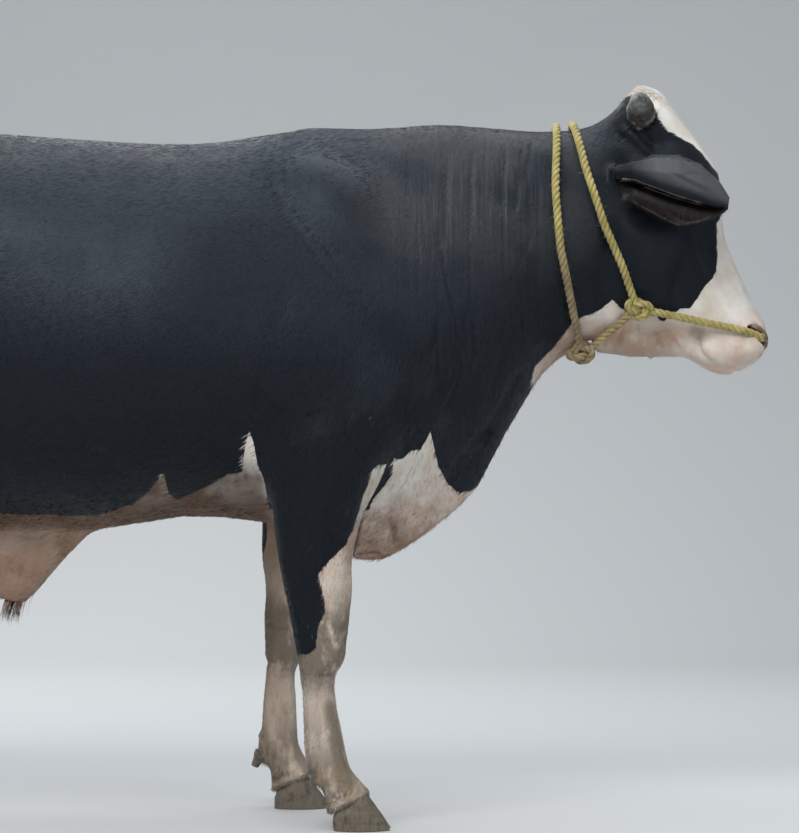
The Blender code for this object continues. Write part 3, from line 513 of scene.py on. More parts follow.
# Coronets: a soft roll of skin over the top of the claws, which falls towards the heel.
CORONET, CORONET_SLOPE = 0.064, math.radians(26)
HEEL_TO_CORONET = 0.056
for heel, side in ((0.318, -1), (0.180, 1), (-0.964, -1), (-1.059, 1)):
    rim = (points[:, 0] - heel - HEEL_TO_CORONET) * math.tan(CORONET_SLOPE)
    above = (points[:, 2] - CORONET) - rim
    at_foot = (points[:, 1] * side > 0.10) & (np.abs(points[:, 0] - heel - 0.03) < 0.14)
    roll = 0.0055 * np.exp(-((above - 0.008) / 0.010) ** 2) * (at_foot & (points[:, 2] < 0.13))
    points += normals * np.array((1, 1, 0.2)) * roll[:, None]
# Sheath: hanging folds, and an opening at its lowest point.
for n in range(5):
    fold = [(-0.30 - 0.035 * n, 0.60), (-0.325 - 0.030 * n, 0.55), (-0.345 - 0.018 * n, 0.50)]
    stroke(fold, 0.007, -0.0034)
swell((-0.395, 0.0, 0.452), (0.016, 0.016, 0.020), -0.022, -1)
stroke([(-0.415, 0.022, 0.464), (-0.372, 0.022, 0.462)], 0.006, 0.003)
# Scrotum: the groove between the two halves, and fine cross wrinkles.
groove = [(-0.722, 0.0, 0.66), (-0.760, 0.0, 0.58), (-0.810, 0.0, 0.548), (-0.870, 0.0, 0.60)]
stroke(groove, 0.008, -0.005)
for n in range(7):
    up = 0.016 * n
    stroke([(-0.890, 0.60 + up), (-0.810, 0.592 + up), (-0.735, 0.60 + up)], 0.0045, -0.0016)
put(skin.data, points)

# Head: the face's own forms, on a finer skin about the muzzle and the eyes.
bm = bmesh.new()
bm.from_mesh(skin.data)
coarse = []
for face in bm.faces:
    spot = face.calc_center_median()
    down = (spot.x - POLL.x) * ALONG[0] + (spot.z - POLL.z) * ALONG[2]
    at_eye = (Vector((spot.x, abs(spot.y), spot.z)) - EYE_PLACE).length < 0.055
    if (spot.x > 0.9 and down > 0.50) or at_eye:
        coarse.append(face)
edges = list({edge for face in coarse for edge in face.edges})
bmesh.ops.subdivide_edges(bm, edges=edges, cuts=1, use_grid_fill=True)
bmesh.ops.triangulate(bm, faces=[face for face in bm.faces if len(face.verts) > 4])
bm.to_mesh(skin.data)
bm.free()
points, normals = places(skin.data), facing(skin.data)
tree = BVHTree.FromObject(skin, bpy.context.evaluated_depsgraph_get())


def on_face(*spots):
    """A line on the skin of the head, through places down the face, out of it and to the side."""
    return [tuple(tree.find_nearest(on_head(*spot))[0]) for spot in spots]


def on_ear(*spots):
    """A line on the outer face of the ear, as seen from the side."""
    return [tuple(tree.find_nearest((x, 0.26, z))[0]) for x, z in spots]


swell((1.018, 0.085, 1.457), (0.034, 0.050, 0.026), -0.012)
strokes(
    (0.009, 0.005, (0.930, 1.492), (0.965, 1.462), (1.000, 1.424)),
    (0.008, -0.0045, (0.946, 1.503), (0.982, 1.470), (1.012, 1.434)),
)
swell((0.976, 0.080, 1.500), (0.034, 0.030, 0.030), 0.0045)
strokes(
    (0.012, 0.005, *on_face((0.205, -0.045, 0.11), (0.225, -0.020, 0.10), (0.262, -0.012, 0.095))),
    (0.011, 0.0045, *on_face((0.310, -0.062, 0.11), (0.380, -0.085, 0.10), (0.450, -0.088, 0.09))),
)
swell(tuple(on_head(0.440, -0.045, 0.075)), (0.036, 0.040, 0.036), -0.005)
strokes(
    (0.013, -0.0036, *on_face((0.340, -0.010, 0.070), (0.440, -0.022, 0.055), (0.530, -0.030, 0.050))),
    (0.014, -0.0042, (1.078, 1.235), (1.050, 1.150), (1.036, 1.070)),
    (0.020, -0.0075, (0.918, 1.30), (0.895, 1.19), (0.885, 1.10), (0.905, 1.035)),
    (0.030, 0.004, (0.962, 1.285), (0.985, 1.20), (0.975, 1.13)),
)


def arc_at_eye(size, flatten, lift, turns):
    """Places on an arc round the eye, as seen from the side."""
    tall = size * flatten
    return [(EYE_PLACE.x + size * math.cos(a), EYE_PLACE.z + tall * math.sin(a) + lift) for a in turns]


for n in range(4):
    arc = 0.032 + 0.0075 * n
    stroke(arc_at_eye(arc, 0.8, -0.002, [math.radians(a) for a in (205, 245, 285, 325)]), 0.0034, -0.0016)
    stroke(arc_at_eye(arc, 0.85, 0.004, (0.6, 1.2, 1.9, 2.5)), 0.0034, -0.0013)
# Muzzle: comma-shaped nostrils with a soft wing, a groove between them, lips and chin.
slit = np.linspace(0, 1, 7)
nostril = on_face(*[(0.573 + 0.045 * t, -0.043 - 0.010 * t * t, 0.077 - 0.036 * t) for t in slit])
stroke(nostril, 0.0165, 0.005, fade=0.1)
way_out = np.mean([tree.find_nearest(spot)[1] for spot in nostril], axis=0)
way_out /= np.linalg.norm(way_out)


def flat_to(spots, way):
    """The places as they lie across a way, with no depth along it."""
    return spots - (spots @ way)[:, None] * way


def opening(line, width, depth, way):
    """Sinks a steep-walled opening along a line, straight in, on both sides."""
    for mirrored in (-1, 1):
        own = points * np.array((1, mirrored, 1))
        near = np.nonzero(np.linalg.norm(own - np.mean(line, axis=0), axis=1) < 0.05)[0]
        spots, ends = flat_to(own[near], way), flat_to(np.array(line), way)
        gap = np.full(len(near), 9.0)
        for a, b in zip(ends, ends[1:]):
            along = np.clip((spots - a) @ (b - a) / ((b - a) @ (b - a)), 0, 1)
            gap = np.minimum(gap, np.linalg.norm(spots - a - along[:, None] * (b - a), axis=1))
        sunk = depth * np.exp(-(gap / width) ** 4)
        points[near] -= sunk[:, None] * way * np.array((1, mirrored, 1))


opening(nostril, 0.0095, 0.021, way_out)
groove = [tuple(on_head(*spot, 0)) for spot in ((0.600, -0.020), (0.634, -0.052), (0.648, -0.090))]
strokes(
    (0.008, -0.0035, *on_face((0.555, -0.060, 0.09), (0.580, -0.075, 0.09), (0.606, -0.078, 0.08))),
    (0.0042, -0.0022, *groove),
)
mouth = [(1.100, 1.038), (1.103, 1.008), (1.127, 0.984), (1.159, 0.971), (1.187, 0.973), (1.216, 0.987)]
stroke(mouth, 0.0042, -0.0065, fade=0.08)
stroke([(x + 0.010, z + 0.009) for x, z in mouth[:4]], 0.0085, 0.0036)
front = on_face((0.632, -0.116, 0.034), (0.640, -0.118, 0.014), (0.642, -0.120, 0.0))
stroke(front, 0.006, -0.0038, fade=0)
swell((1.094, 0.062, 1.046), (0.013, 0.040, 0.017), -0.006)
for wrinkle in (
    ((0.940, 1.090), (0.934, 1.055), (0.928, 1.020)), ((0.968, 1.072), (0.970, 1.045), (0.979, 1.018)),
    ((1.008, 1.058), (1.012, 1.035), (1.028, 1.008)), ((1.042, 1.046), (1.055, 1.022), (1.076, 1.003)),
    ((1.078, 1.036), (1.040, 1.050), (0.995, 1.044)), ((1.085, 1.060), (1.060, 1.075), (1.020, 1.078)),
    ((0.905, 1.060), (0.900, 1.035), (0.895, 1.012)),
):
    stroke(wrinkle, 0.006, -0.0034)
    stroke([(x + 0.010, z) for x, z in wrinkle], 0.006, 0.0018)
swell((1.003, 0.010, 0.990), (0.0055, 0.0075, 0.010), 0.013, -1)
# Ears: the crease along the leaf, the ridge over it, the thick root and the opened lower half.
strokes(
    (0.0052, -0.0042, *on_ear(
        (1.002, 1.394), (1.035, 1.371), (1.067, 1.351), (1.102, 1.339), (1.128, 1.318))),
    (0.0065, 0.003, *on_ear((1.000, 1.406), (1.040, 1.388), (1.080, 1.368), (1.115, 1.352))),
    (0.004, 0.0014, *on_ear((0.965, 1.392), (1.000, 1.380), (1.040, 1.360))),
)
swell((0.925, 0.112, 1.372), (0.026, 0.026, 0.030), 0.005)
EAR_EDGE = ((0.912, 1.372), (0.955, 1.368), (1.000, 1.348), (1.045, 1.330), (1.090, 1.316), (1.130, 1.307))
edge_height = np.interp(points[:, 0], *zip(*EAR_EDGE))
outward = np.sign(points[:, 1])
lining = ear_share(points) * rising(normals[:, 1] * outward, 0.0, 0.5)
lining *= rising(edge_height - points[:, 2], 0.002, 0.014)
lining *= rising(points[:, 0], 0.93, 0.96) * rising(1.135 - points[:, 0], 0, 0.03)
points[:, 1] += outward * 0.013 * lining
for n in range(3):
    root = [(0.905 + 0.010 * n, 1.395 - 0.004 * n), (0.900 + 0.013 * n, 1.365), (0.908 + 0.012 * n, 1.335)]
    stroke(root, 0.0042, -0.002)
put(skin.data, points)

# The finished skin is thinned where it is plain, and keeps its grain on the head and the folds.
points = places(skin.data)
head, neck, leg = part_shares(points)
plain = np.clip(1 - 0.97 * head - 0.35 * neck - 0.35 * leg - 0.9 * ear_share(points), 0, 1)
weighted(skin, "plain", plain)
thin = skin.modifiers.new("thin", "DECIMATE")
thin.ratio = SKIN_TRIANGLES / sum(len(p.vertices) - 2 for p in skin.data.polygons)
thin.vertex_group, thin.vertex_group_factor = "plain", 0.6
settle(skin)
skin.vertex_groups.clear()

# Eyelids: a rolled rim round each eye, drawn out over the ball and down into the skin.
EYE_SIZE = 0.0212                      # radius of the eyeball
LID_HALF = 0.0205                      # half the length of the opening
LID_RISE, LID_FALL = 0.0125, 0.0105    # how far the upper and the lower lid open
LID_POINTS = 56                        # places round each row
LID_ROWS = (                           # size against the opening, height off the ball, share of skin
    (0.90, -0.0030, 0), (0.99, 0.0002, 0), (1.00, 0.0014, 0), (1.035, 0.0027, 0), (1.10, 0.0034, 0),
    (1.22, 0.0040, 0), (1.36, 0.0037, 0.1), (1.46, 0.0026, 0.25), (1.58, 0.0036, 0.4), (1.75, 0.0030, 0.6),
    (1.95, 0.0010, 0.85), (2.20, 0.0005, 1.0), (2.50, -0.0030, 1.0),
)


def eye_frame(side):
    """The eye's middle, the way it looks, the way its opening runs, and up."""
    look = Vector((0.40, side, 0.06)).normalized()
    run = Vector((0.86, -0.34 * side, -0.42))
    run = (run - look * run.dot(look)).normalized()
    return Vector((EYE_PLACE.x, EYE_PLACE.y * side, EYE_PLACE.z)), look, run, run.cross(look) * -side


def lid_place(frame_of, turn, size, off, share=0, tree=None):
    """A place on the lid: a turn round the opening, and how far out from its rim."""
    middle, look, run, rise = frame_of
    across, upright = math.cos(turn), math.sin(turn)
    reach = LID_HALF * (1 + (size - 1) * 0.82)
    tall = (LID_RISE if upright > 0 else LID_FALL) * (size if size < 1 else 1 + (size - 1) * 1.35)
    flat = run * across * reach + rise * (upright * tall * (1 - 0.20 * across * across) + 0.002 * across)
    bulge = EYE_SIZE + off
    ball = middle + flat + look * math.sqrt(max(bulge ** 2 - min(flat.length, bulge * 0.93) ** 2, 0))
    if share == 0:
        return ball
    near = tree.find_nearest(middle + flat + look * 0.020)
    return ball.lerp(near[0] + near[1] * off, share)


def lids(side, tree):
    """One eye's lids, as a mesh that is a ring of faces."""
    bm = bmesh.new()
    rings = []
    turns = [2 * math.pi * n / LID_POINTS for n in range(LID_POINTS)]
    for row in LID_ROWS:
        verts = [bm.verts.new(lid_place(eye_frame(side), turn, *row, tree)) for turn in turns]
        rings.append([bm.edges.new((a, b)) for a, b in zip(verts, verts[1:] + verts[:1])])
    for inner, outer in zip(rings, rings[1:]):
        bmesh.ops.bridge_loops(bm, edges=inner + outer)
    bmesh.ops.recalc_face_normals(bm, faces=bm.faces)
    if sum(f.normal.dot(eye_frame(side)[1]) for f in bm.faces) < 0:
        bmesh.ops.reverse_faces(bm, faces=bm.faces)
    mesh = bpy.data.meshes.new("lids")
    bm.to_mesh(mesh)
    bm.free()
    return mesh


bm = bmesh.new()
bm.from_mesh(skin.data)
points = places(skin.data)
off_ear = (ear_share(points) < 0.02) & (points[:, 0] > 0.96)
cheeks = bm.copy()
cheeks.verts.ensure_lookup_table()
bmesh.ops.delete(cheeks, geom=[cheeks.verts[n] for n in np.nonzero(~off_ear)[0]], context="VERTS")
tree = BVHTree.FromBMesh(cheeks)
cheeks.free()
for _, side in SIDES:
    spare = lids(side, tree)
    bm.from_mesh(spare)
    bpy.data.meshes.remove(spare)
bm.to_mesh(skin.data)
bm.free()
skin.data.shade_smooth()
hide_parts(*FLESH)

# The hide's finish: black, white and bare pink, laid out once for the skin and the coat alike.
# Each border is the height or distance at which the colour changes, as a curve along the body.
def noise(place, scale, detail=3, rough=0.55, stretch=None):
    """A soft random value round 0.5."""
    if stretch:
        place = place.vector("MULTIPLY", stretch)
    values = {"Vector": place, "Scale": scale, "Detail": detail, "Roughness": rough}
    return add(place.tree, "TexNoise", {}, values)


def blended(share, first, second):
    """Two colours, mixed by a share."""
    return add(share.tree, "Mix", {"data_type": "RGBA"}, {0: share, 6: first, 7: second}, 2)


def either(share, first, second):
    """Two numbers, mixed by a share."""
    return add(share.tree, "Mix", {"data_type": "FLOAT"}, {0: share, 2: first, 3: second})


def layered(colour, *coats):
    """The colour with others laid over it in turn, each by its own share."""
    for share, over in coats:
        colour = blended(share, colour, over)
    return colour


def raise_surface(height, shader, strength):
    """Lets a height, in metres, stand out from the surface."""
    bump = add(height.tree, "Bump", {}, {"Strength": strength, "Distance": 1.0, "Height": height})
    join(bump, shader, "Normal")


def own_place(tree):
    return add(tree, "TexCoord", {}, {}, 3)


WHORL = (1.150, 0.0, 1.415)             # the hair of the face turns outward from here
JET = (0.0040, 0.0047, 0.0062)
BLACK = (0.0058, 0.0068, 0.0096)
SHEEN_AND_DUST_BLACK = (0.0135, 0.0160, 0.0215)  # painted bluish sheen on the upper half, where the coat reflects the sky, with some dust
BLACK_BROWN = (0.024, 0.019, 0.016)    # sun-faded hair along the back
DUSTY_BLACK = (0.036, 0.036, 0.037)
# a painted sheen: the top of the ears lighter grey where the light falls
EAR_TOP_SHEEN = (0.075, 0.077, 0.080)
EAR_LINING = (0.018, 0.0115, 0.0085)
EAR_EDGE_LINE = (0.22, 0.17, 0.135)
ASH = (0.18, 0.17, 0.16)
WHITE = (0.74, 0.72, 0.67)
CREAM = (0.62, 0.54, 0.45)
LEG_CREAM = (0.54, 0.46, 0.37)
PINK = (0.58, 0.37, 0.28)
# tan skin, darkened in part as painted shade of the underside
TAN_AND_SHADE = (0.235, 0.135, 0.080)
# brown skin of the belly band, darkened in part as painted shade
BELLY_BROWN_AND_SHADE = (0.110, 0.062, 0.038)
# painted shade in creases
CREASE_SHADE = (0.075, 0.045, 0.030)
# painted shade in the corners of the mouth
MOUTH_CORNER_SHADE = (0.16, 0.105, 0.07)
DOT_BROWN = (0.22, 0.15, 0.11)
OCHRE = (0.32, 0.19, 0.09)
DIRT = (0.13, 0.105, 0.075)
SLATE = (0.055, 0.050, 0.050)
NOSTRIL_PINK = (0.44, 0.21, 0.19)
# painted shade deep in the nostrils
NOSTRIL_SHADE = (0.030, 0.011, 0.010)
SHEATH_TIP = (0.030, 0.022, 0.017)
# Borders on the right side. White lies below or in front of each.
BELLY = (
    (-0.42, 0.664), (-0.31, 0.660), (-0.18, 0.660), (-0.144, 0.669), (-0.099, 0.686), (-0.063, 0.713),
    (-0.046, 0.735), (-0.040, 0.750), (-0.030, 0.748), (-0.028, 0.706), (-0.006, 0.694), (0.022, 0.705),
    (0.064, 0.726), (0.096, 0.747), (0.130, 0.752), (0.137, 0.802), (0.147, 0.842), (0.156, 0.812),
    (0.162, 0.768), (0.177, 0.735), (0.182, 0.665),
)
HIND_BELLY = (
    (-1.26, 0.60), (-1.00, 0.62), (-0.86, 0.655), (-0.78, 0.672), (-0.70, 0.684), (-0.62, 0.686),
    (-0.52, 0.678), (-0.40, 0.664),
)
BRISKET = (
    (0.345, 0.560), (0.362, 0.583), (0.377, 0.619), (0.394, 0.666), (0.405, 0.696), (0.428, 0.723),
    (0.444, 0.745), (0.447, 0.782), (0.464, 0.779), (0.483, 0.796), (0.503, 0.799), (0.514, 0.818),
    (0.524, 0.839), (0.534, 0.796), (0.541, 0.764), (0.564, 0.723), (0.588, 0.704), (0.613, 0.708),
    (0.640, 0.722), (0.660, 0.735), (0.70, 0.560),
)
FOREARM = (                            # x of the border at each height of the near foreleg
    (0.36, 0.20), (0.368, 0.262), (0.385, 0.284), (0.435, 0.290), (0.458, 0.304), (0.480, 0.303),
    (0.502, 0.299), (0.536, 0.289), (0.555, 0.300), (0.5675, 0.312), (0.597, 0.344), (0.620, 0.357),
    (0.654, 0.369), (0.692, 0.381), (0.727, 0.393), (0.757, 0.403), (0.768, 0.414), (0.774, 0.55),
    (0.80, 0.55),
)
GASKIN = (
    (0.38, -1.20), (0.42, -1.13), (0.455, -1.055), (0.49, -1.02), (0.53, -1.01), (0.58, -0.955),
    (0.63, -0.88), (0.67, -0.76), (0.70, -0.58), (0.72, -0.45),
)
BLAZE = (                              # how far out of the face line the border runs, down the face
    (-0.04, -0.055), (0.000, -0.040), (0.0176, -0.0286), (0.049, -0.014), (0.079, -0.018),
    (0.113, -0.012), (0.135, 0.003), (0.160, 0.021), (0.189, 0.032), (0.221, 0.037), (0.250, 0.050),
    (0.270, 0.070), (0.300, 0.050), (0.322, 0.012), (0.335, -0.010), (0.377, -0.032), (0.405, -0.046),
    (0.423, -0.0585), (0.435, -0.077), (0.442, -0.100), (0.4567, -0.122), (0.470, -0.150), (0.480, -0.20),
)
FAR_BLAZE = (
    (-0.04, -0.055), (0.000, -0.042), (0.040, -0.020), (0.090, -0.022), (0.130, -0.004), (0.175, 0.014),
    (0.215, 0.024), (0.262, 0.022), (0.300, 0.002), (0.335, -0.014), (0.370, -0.034), (0.400, -0.052),
    (0.430, -0.082), (0.445, -0.115), (0.470, -0.150), (0.480, -0.20),
)
EAR_RIM = ((0.90, 1.378), *EAR_EDGE[1:], (1.16, 1.300))
JAW = (
    (0.72, 0.86), (0.745, 0.945), (0.750, 0.978), (0.792, 1.017), (0.826, 1.066), (0.839, 1.079),
    (0.864, 1.085), (0.894, 1.100), (0.904, 1.108), (0.913, 1.120), (0.921, 1.112), (0.932, 1.101),
    (0.954, 1.087), (1.007, 1.087), (1.018, 1.075), (1.026, 1.072), (1.034, 1.080), (1.045, 1.087),
    (1.060, 1.098), (1.10, 1.102),
)
NOSTRIL_LINE = flat_to(np.array(nostril)[::2], way_out)
# Painted shade in the creases of the brisket and in the gap beside the leg: their two ends, half width and
# strength.
BRISKET_CREASE_SHADES = (
    (((0.379, 0, 0.652), (0.354, 0, 0.562)), 0.0042, 0.80),
    (((0.369, 0, 0.573), (0.414, 0, 0.577)), 0.0022, 0.55),
    (((0.447, 0, 0.630), (0.452, 0, 0.604)), 0.0055, 0.42),
    (((0.452, 0, 0.604), (0.474, 0, 0.612)), 0.0040, 0.25),
)
LEG_BEHIND = 0.138                     # how far the left foreleg stands behind the right one


def hide_pattern(place):
    """How white the hide is at a place, and the measures of the place that its colours use."""
    x, y, z = place.parts()
    side = abs(y)
    left = y.ramp(-0.010, 0.010)
    ragged = noise(place, 62, 4, 0.62, (0.55, 0.55, 1)) - 0.5
    wander = noise(place, 9, 2) - 0.5
    stray = left * wander
    at_leg = x + left * LEG_BEHIND
    along = at_leg + stray * 0.16
    belly = along.border(-0.42, 0.19, 0.60, 0.86, BELLY)
    hind = x.border(-1.26, -0.40, 0.58, 0.80, HIND_BELLY)
    under = (belly + hind - 0.664 - z) & ((along < 0.19) - 0.5)
    brisket = (x + stray * 0.24).border(0.34, 0.71, 0.54, 0.86, BRISKET) - z
    brisket = brisket & ((x > 0.33) - 0.5) & ((x < 0.71) - 0.5)
    chest = (0.700 - z) & (0.115 - side) & (x - 0.04) & (0.40 - x)
    thighs = (0.715 - z + wander * 0.18) & (0.125 - side) & (-0.62 - x)
    withers = (0.010 - side + ragged * 0.02) & (x - 0.497) & (0.548 - x) & (z - 1.40)
    pouch = (0.73 - z) & (0.078 - side) & (x + 0.93) & (-0.66 - x)
    trunk = under | brisket | chest | thighs | withers | pouch
    wrap = side.under(0.190, 0.07) * 0.13
    forearm = at_leg + wrap + stray * 0.04 - z.border(0.36, 0.80, 0.18, 0.60, FOREARM)
    forearm = forearm | (0.369 - z + wander * 0.02)
    gaskin = x - 0.05 + left * 0.095 + (0.255 - side) * 1.3 + stray * 0.05
    gaskin = (gaskin - z.border(0.38, 0.72, -1.26, -0.40, GASKIN)) | (0.41 - z + wander * 0.03)
    elbow = 0.190 - z.under(0.66, 0.05) * 0.09
    leg_front = 0.366 + z.ramp(0.60, 0.80) * 0.070 + z.under(0.65, 0.04) * 0.12 + left * 0.06
    at_foreleg = (side + wander * 0.05 > 0.118) & (z < 0.79) & (at_leg > elbow) & (at_leg < leg_front)
    at_hindleg = (side > 0.085) & (z < 0.72) & (x < -0.62)
    body = either(at_hindleg, either(at_foreleg, trunk, forearm), gaskin)
    down = (x - POLL.x) * ALONG[0] + (z - POLL.z) * ALONG[2]
    out = (x - POLL.x) * OUTWARD[0] + (z - POLL.z) * OUTWARD[2]
    near_face, far_face = [out - down.border(-0.04, 0.48, -0.21, 0.08, line) for line in (BLAZE, FAR_BLAZE)]
    face = near_face * (1 - left) + far_face * left
    jaw = (x + stray * 0.06).border(0.72, 1.10, 0.84, 1.14, JAW) - z
    at_ear = (side > 0.112) & (z > 1.25)
    body = either(before_throat(x, z), body, (face | jaw) - at_ear)
    at_tail = (x < -1.18) & (side < 0.07) & (z < 1.2)
    body = either(at_tail, body, 0.79 - z + wander * 0.06)
    fleck = 0.006 - place.vector("DISTANCE", (0.197, -0.30, 1.243), out=1)
    white = ((body | fleck) + ragged * 0.013).ramp(-0.0018, 0.0018)
    return white, (x, y, z, side, down, out, wander, at_leg)


def before_throat(x, z):
    """1 on the head and 0 behind it."""
    return x + (z - 1.0) * 0.55 > 0.715


def from_line(place, ends):
    """How far the place is from the straight line between two points."""
    start, end = [Vector(point) for point in ends]
    run = end - start
    away = place.vector("SUBTRACT", tuple(start))
    share = (away.vector("DOT_PRODUCT", tuple(run / run.length_squared), out=1) & 1.0) | 0.0
    return away.vector("DISTANCE", share.vector("MULTIPLY", tuple(run)), out=1)


def combed(place, way, share):
    """The place, drawn together along one way, so that a pattern on it runs that way."""
    along = place.vector("DOT_PRODUCT", way, out=1)
    return along.vector("MULTIPLY_ADD", tuple(part * (share - 1) for part in way), place)


def dark_hair(place, measures):
    """The black hair: a painted bluish sheen with some dust above, faded on the back, dusty on the neck, and
    a painted grey sheen on the top of the ears.
    """
    x, y, z, side, down, out, wander, at_leg = measures
    faded = z.ramp(1.34, 1.50) * noise(place, 5, 2).ramp(0.42, 0.62) * (1 - x.ramp(0.55, 0.75))
    dusty = x.ramp(0.30, 0.46) * (1 - x.ramp(0.80, 0.92)) * z.ramp(1.08, 1.30)
    on_ear = (side - (x - 0.95) * 0.2 > 0.118) & (x > 0.930) & (z < 1.425)
    on_ear = on_ear & (z + (x - 0.958) * 0.5 > 1.312)
    back = x.ramp(0.935, 1.005) * (z + (x - 0.958) * 0.36 - 1.372).ramp(0, 0.024)
    rim = x.border(0.90, 1.16, 1.28, 1.40, EAR_RIM)
    line = (1 - abs(z - rim).ramp(0.0006, 0.0022)) * x.under(1.10, 0.02)
    ashen = noise(place, 220, 2).ramp(0.60, 0.72) * noise(place, 16, 2).ramp(0.60, 0.70)
    return layered(
        JET,
        (noise(place, 120, 3, 0.6).ramp(0.35, 0.7), BLACK),
        # painted sheen: the upper body lighter and bluish, standing in for the sky's reflection, with some
        # dust
        (z.ramp(0.78, 1.25) * (1 - x.ramp(0.62, 0.80)) * 0.9, SHEEN_AND_DUST_BLACK),
        (faded * 0.7, BLACK_BROWN),
        (dusty * noise(place, 6, 2).ramp(0.30, 0.55) * 0.75, DUSTY_BLACK),
        # painted sheen on the top of each ear
        (on_ear * back * 0.85, EAR_TOP_SHEEN),
        (on_ear * (rim - z).ramp(-0.002, 0.006) * 0.85, EAR_LINING),
        (on_ear * line, EAR_EDGE_LINE),
        (ashen * z.under(0.95, 0.1) * 0.35, ASH),
    )


def pale_hair(place, measures):
    """The white hair, its stains, the skin that shows through and the painted shade under the belly, in the
    brisket's creases, in the mouth's corners and deep in the nostrils, with how bare it is.
    """
    x, y, z, side, down, out, wander, at_leg = measures
    blotch = noise(place, 14, 4, 0.6)
    muzzle = down.ramp(0.50, 0.60)
    jaw = z.under(1.10, 0.06) * x.ramp(0.70, 0.80) * (1 - muzzle)
    belly = z.under(0.70, 0.14) * x.under(0.9, 0.2) * z.ramp(0.42, 0.47)
    bare = (belly * (0.55 + 0.45 * blotch.ramp(0.35, 0.6))) | (jaw * 0.85) | (muzzle * 0.72)
    # Tan skin under the belly and between the forelegs, darkened in part as painted shade of the underside
    underside_tan_and_shade = z.under(0.72, 0.05) * x.under(0.24, 0.05) * side.under(0.34, 0.05) * x.ramp(-1.0, -0.8)
    between_legs_tan_and_shade = z.under(0.66, 0.08) * x.ramp(0.33, 0.36) * side.under(0.20, 0.05) * 0.55
    underside_tan_and_shade = (underside_tan_and_shade | between_legs_tan_and_shade) * (0.74 + 0.26 * wander.ramp(-0.15, 0.2))
    # The band along the lower belly: brown skin, darkened in part as painted shade
    belly_band_brown_and_shade = z.under(0.80, 0.07) * at_leg.under(0.20, 0.04) * x.ramp(-0.62, -0.42) * z.ramp(0.615, 0.645)
    flap = z.under(0.80, 0.20) * x.ramp(0.33, 0.36) * x.under(0.64, 0.2) * side.under(0.30, 0.05)
    chops = jaw * x.under(1.085, 0.06)
    colour = layered(
        WHITE,
        (blotch.ramp(0.3, 0.7), CREAM),
        (bare, blended(noise(place, 30, 4, 0.65).ramp(0.35, 0.65), PINK, CREAM)),
        (underside_tan_and_shade, TAN_AND_SHADE),
        (belly_band_brown_and_shade * (0.80 + 0.2 * blotch.ramp(0.35, 0.6)), BELLY_BROWN_AND_SHADE),
        (flap * noise(place, 16, 4, 0.62).ramp(0.30, 0.62) * 0.75, TAN_AND_SHADE),
    )
    flat = combed(place, (0, 1, 0), 0.0)
    # painted shade along the brisket's creases
    for line, width, strength in BRISKET_CREASE_SHADES:
        crease = (1 - from_line(flat, line).ramp(width * 0.4, width * 2)) * side.under(0.135, 0.01)
        colour = blended(crease * strength, colour, CREASE_SHADE)
    # painted shade in the corners of the mouth
    corners = [place.vector("DISTANCE", (1.097, y_at, 1.047), out=1) for y_at in (-0.062, 0.062)]
    leg = z.under(0.62, 0.12) * (side > 0.10)
    stain = noise(place, 26, 5, 0.62, (1, 1, 0.6))
    knee = (1 - abs(z - 0.385) * 7).ramp(0, 0.7) | (1 - abs(z - 0.125) * 10).ramp(0, 0.8) * 0.8
    shin = from_line(place, ((0.322, -0.215, 0.26), (0.345, -0.215, 0.10)))
    grime = (knee * stain.ramp(0.30, 0.52)) | (z.under(0.34, 0.22) * stain.ramp(0.40, 0.60) * 0.75)
    grime = grime | ((1 - shin.ramp(0.012, 0.036)) * stain.ramp(0.26, 0.44))
    ochre = (1 - abs(z - 0.095) * 16).ramp(0, 1) * noise(place, 34, 3).ramp(0.5, 0.62)
    own = add(place.tree, "CombineXYZ", {}, {0: x, 1: side, 2: z})
    own = combed(own, tuple(way_out), 0.0)
    first, second, third = [from_line(own, NOSTRIL_LINE[n:n + 2]) for n in range(3)]
    gap = first & second & third
    at_nose = down > 0.54
    over = out.ramp(-0.050, -0.036) * (1 - gap.ramp(0.010, 0.024))
    over = over * noise(place, 70, 3).ramp(0.25, 0.45) * at_nose
    tip = place.vector("DISTANCE", (-0.371, 0.0, 0.455), out=1)
    colour = layered(
        colour,
        (chops * noise(place, 18, 4, 0.62).ramp(0.16, 0.60) * 0.62, TAN_AND_SHADE),
        ((1 - (corners[0] & corners[1]).ramp(0.004, 0.034)) * 0.7, MOUTH_CORNER_SHADE),
        (leg * 0.5, LEG_CREAM),
        (grime * leg.ramp(0, 0.2) * 0.85, DIRT),
        (ochre * 0.45, OCHRE),
        (noise(place, 300, 2).ramp(0.62, 0.74) * bare * 0.35, DOT_BROWN),
        (over * 0.92, SLATE),
        ((1 - gap.ramp(0.0095, 0.0150)) * (1 - over * 0.7) * at_nose * 0.8, NOSTRIL_PINK),
        # painted shade deep in each nostril
        ((1 - gap.ramp(0.0068, 0.0098)) * at_nose, NOSTRIL_SHADE),
        (1 - tip.ramp(0.014, 0.022), SHEATH_TIP),
    )
    return colour, bare


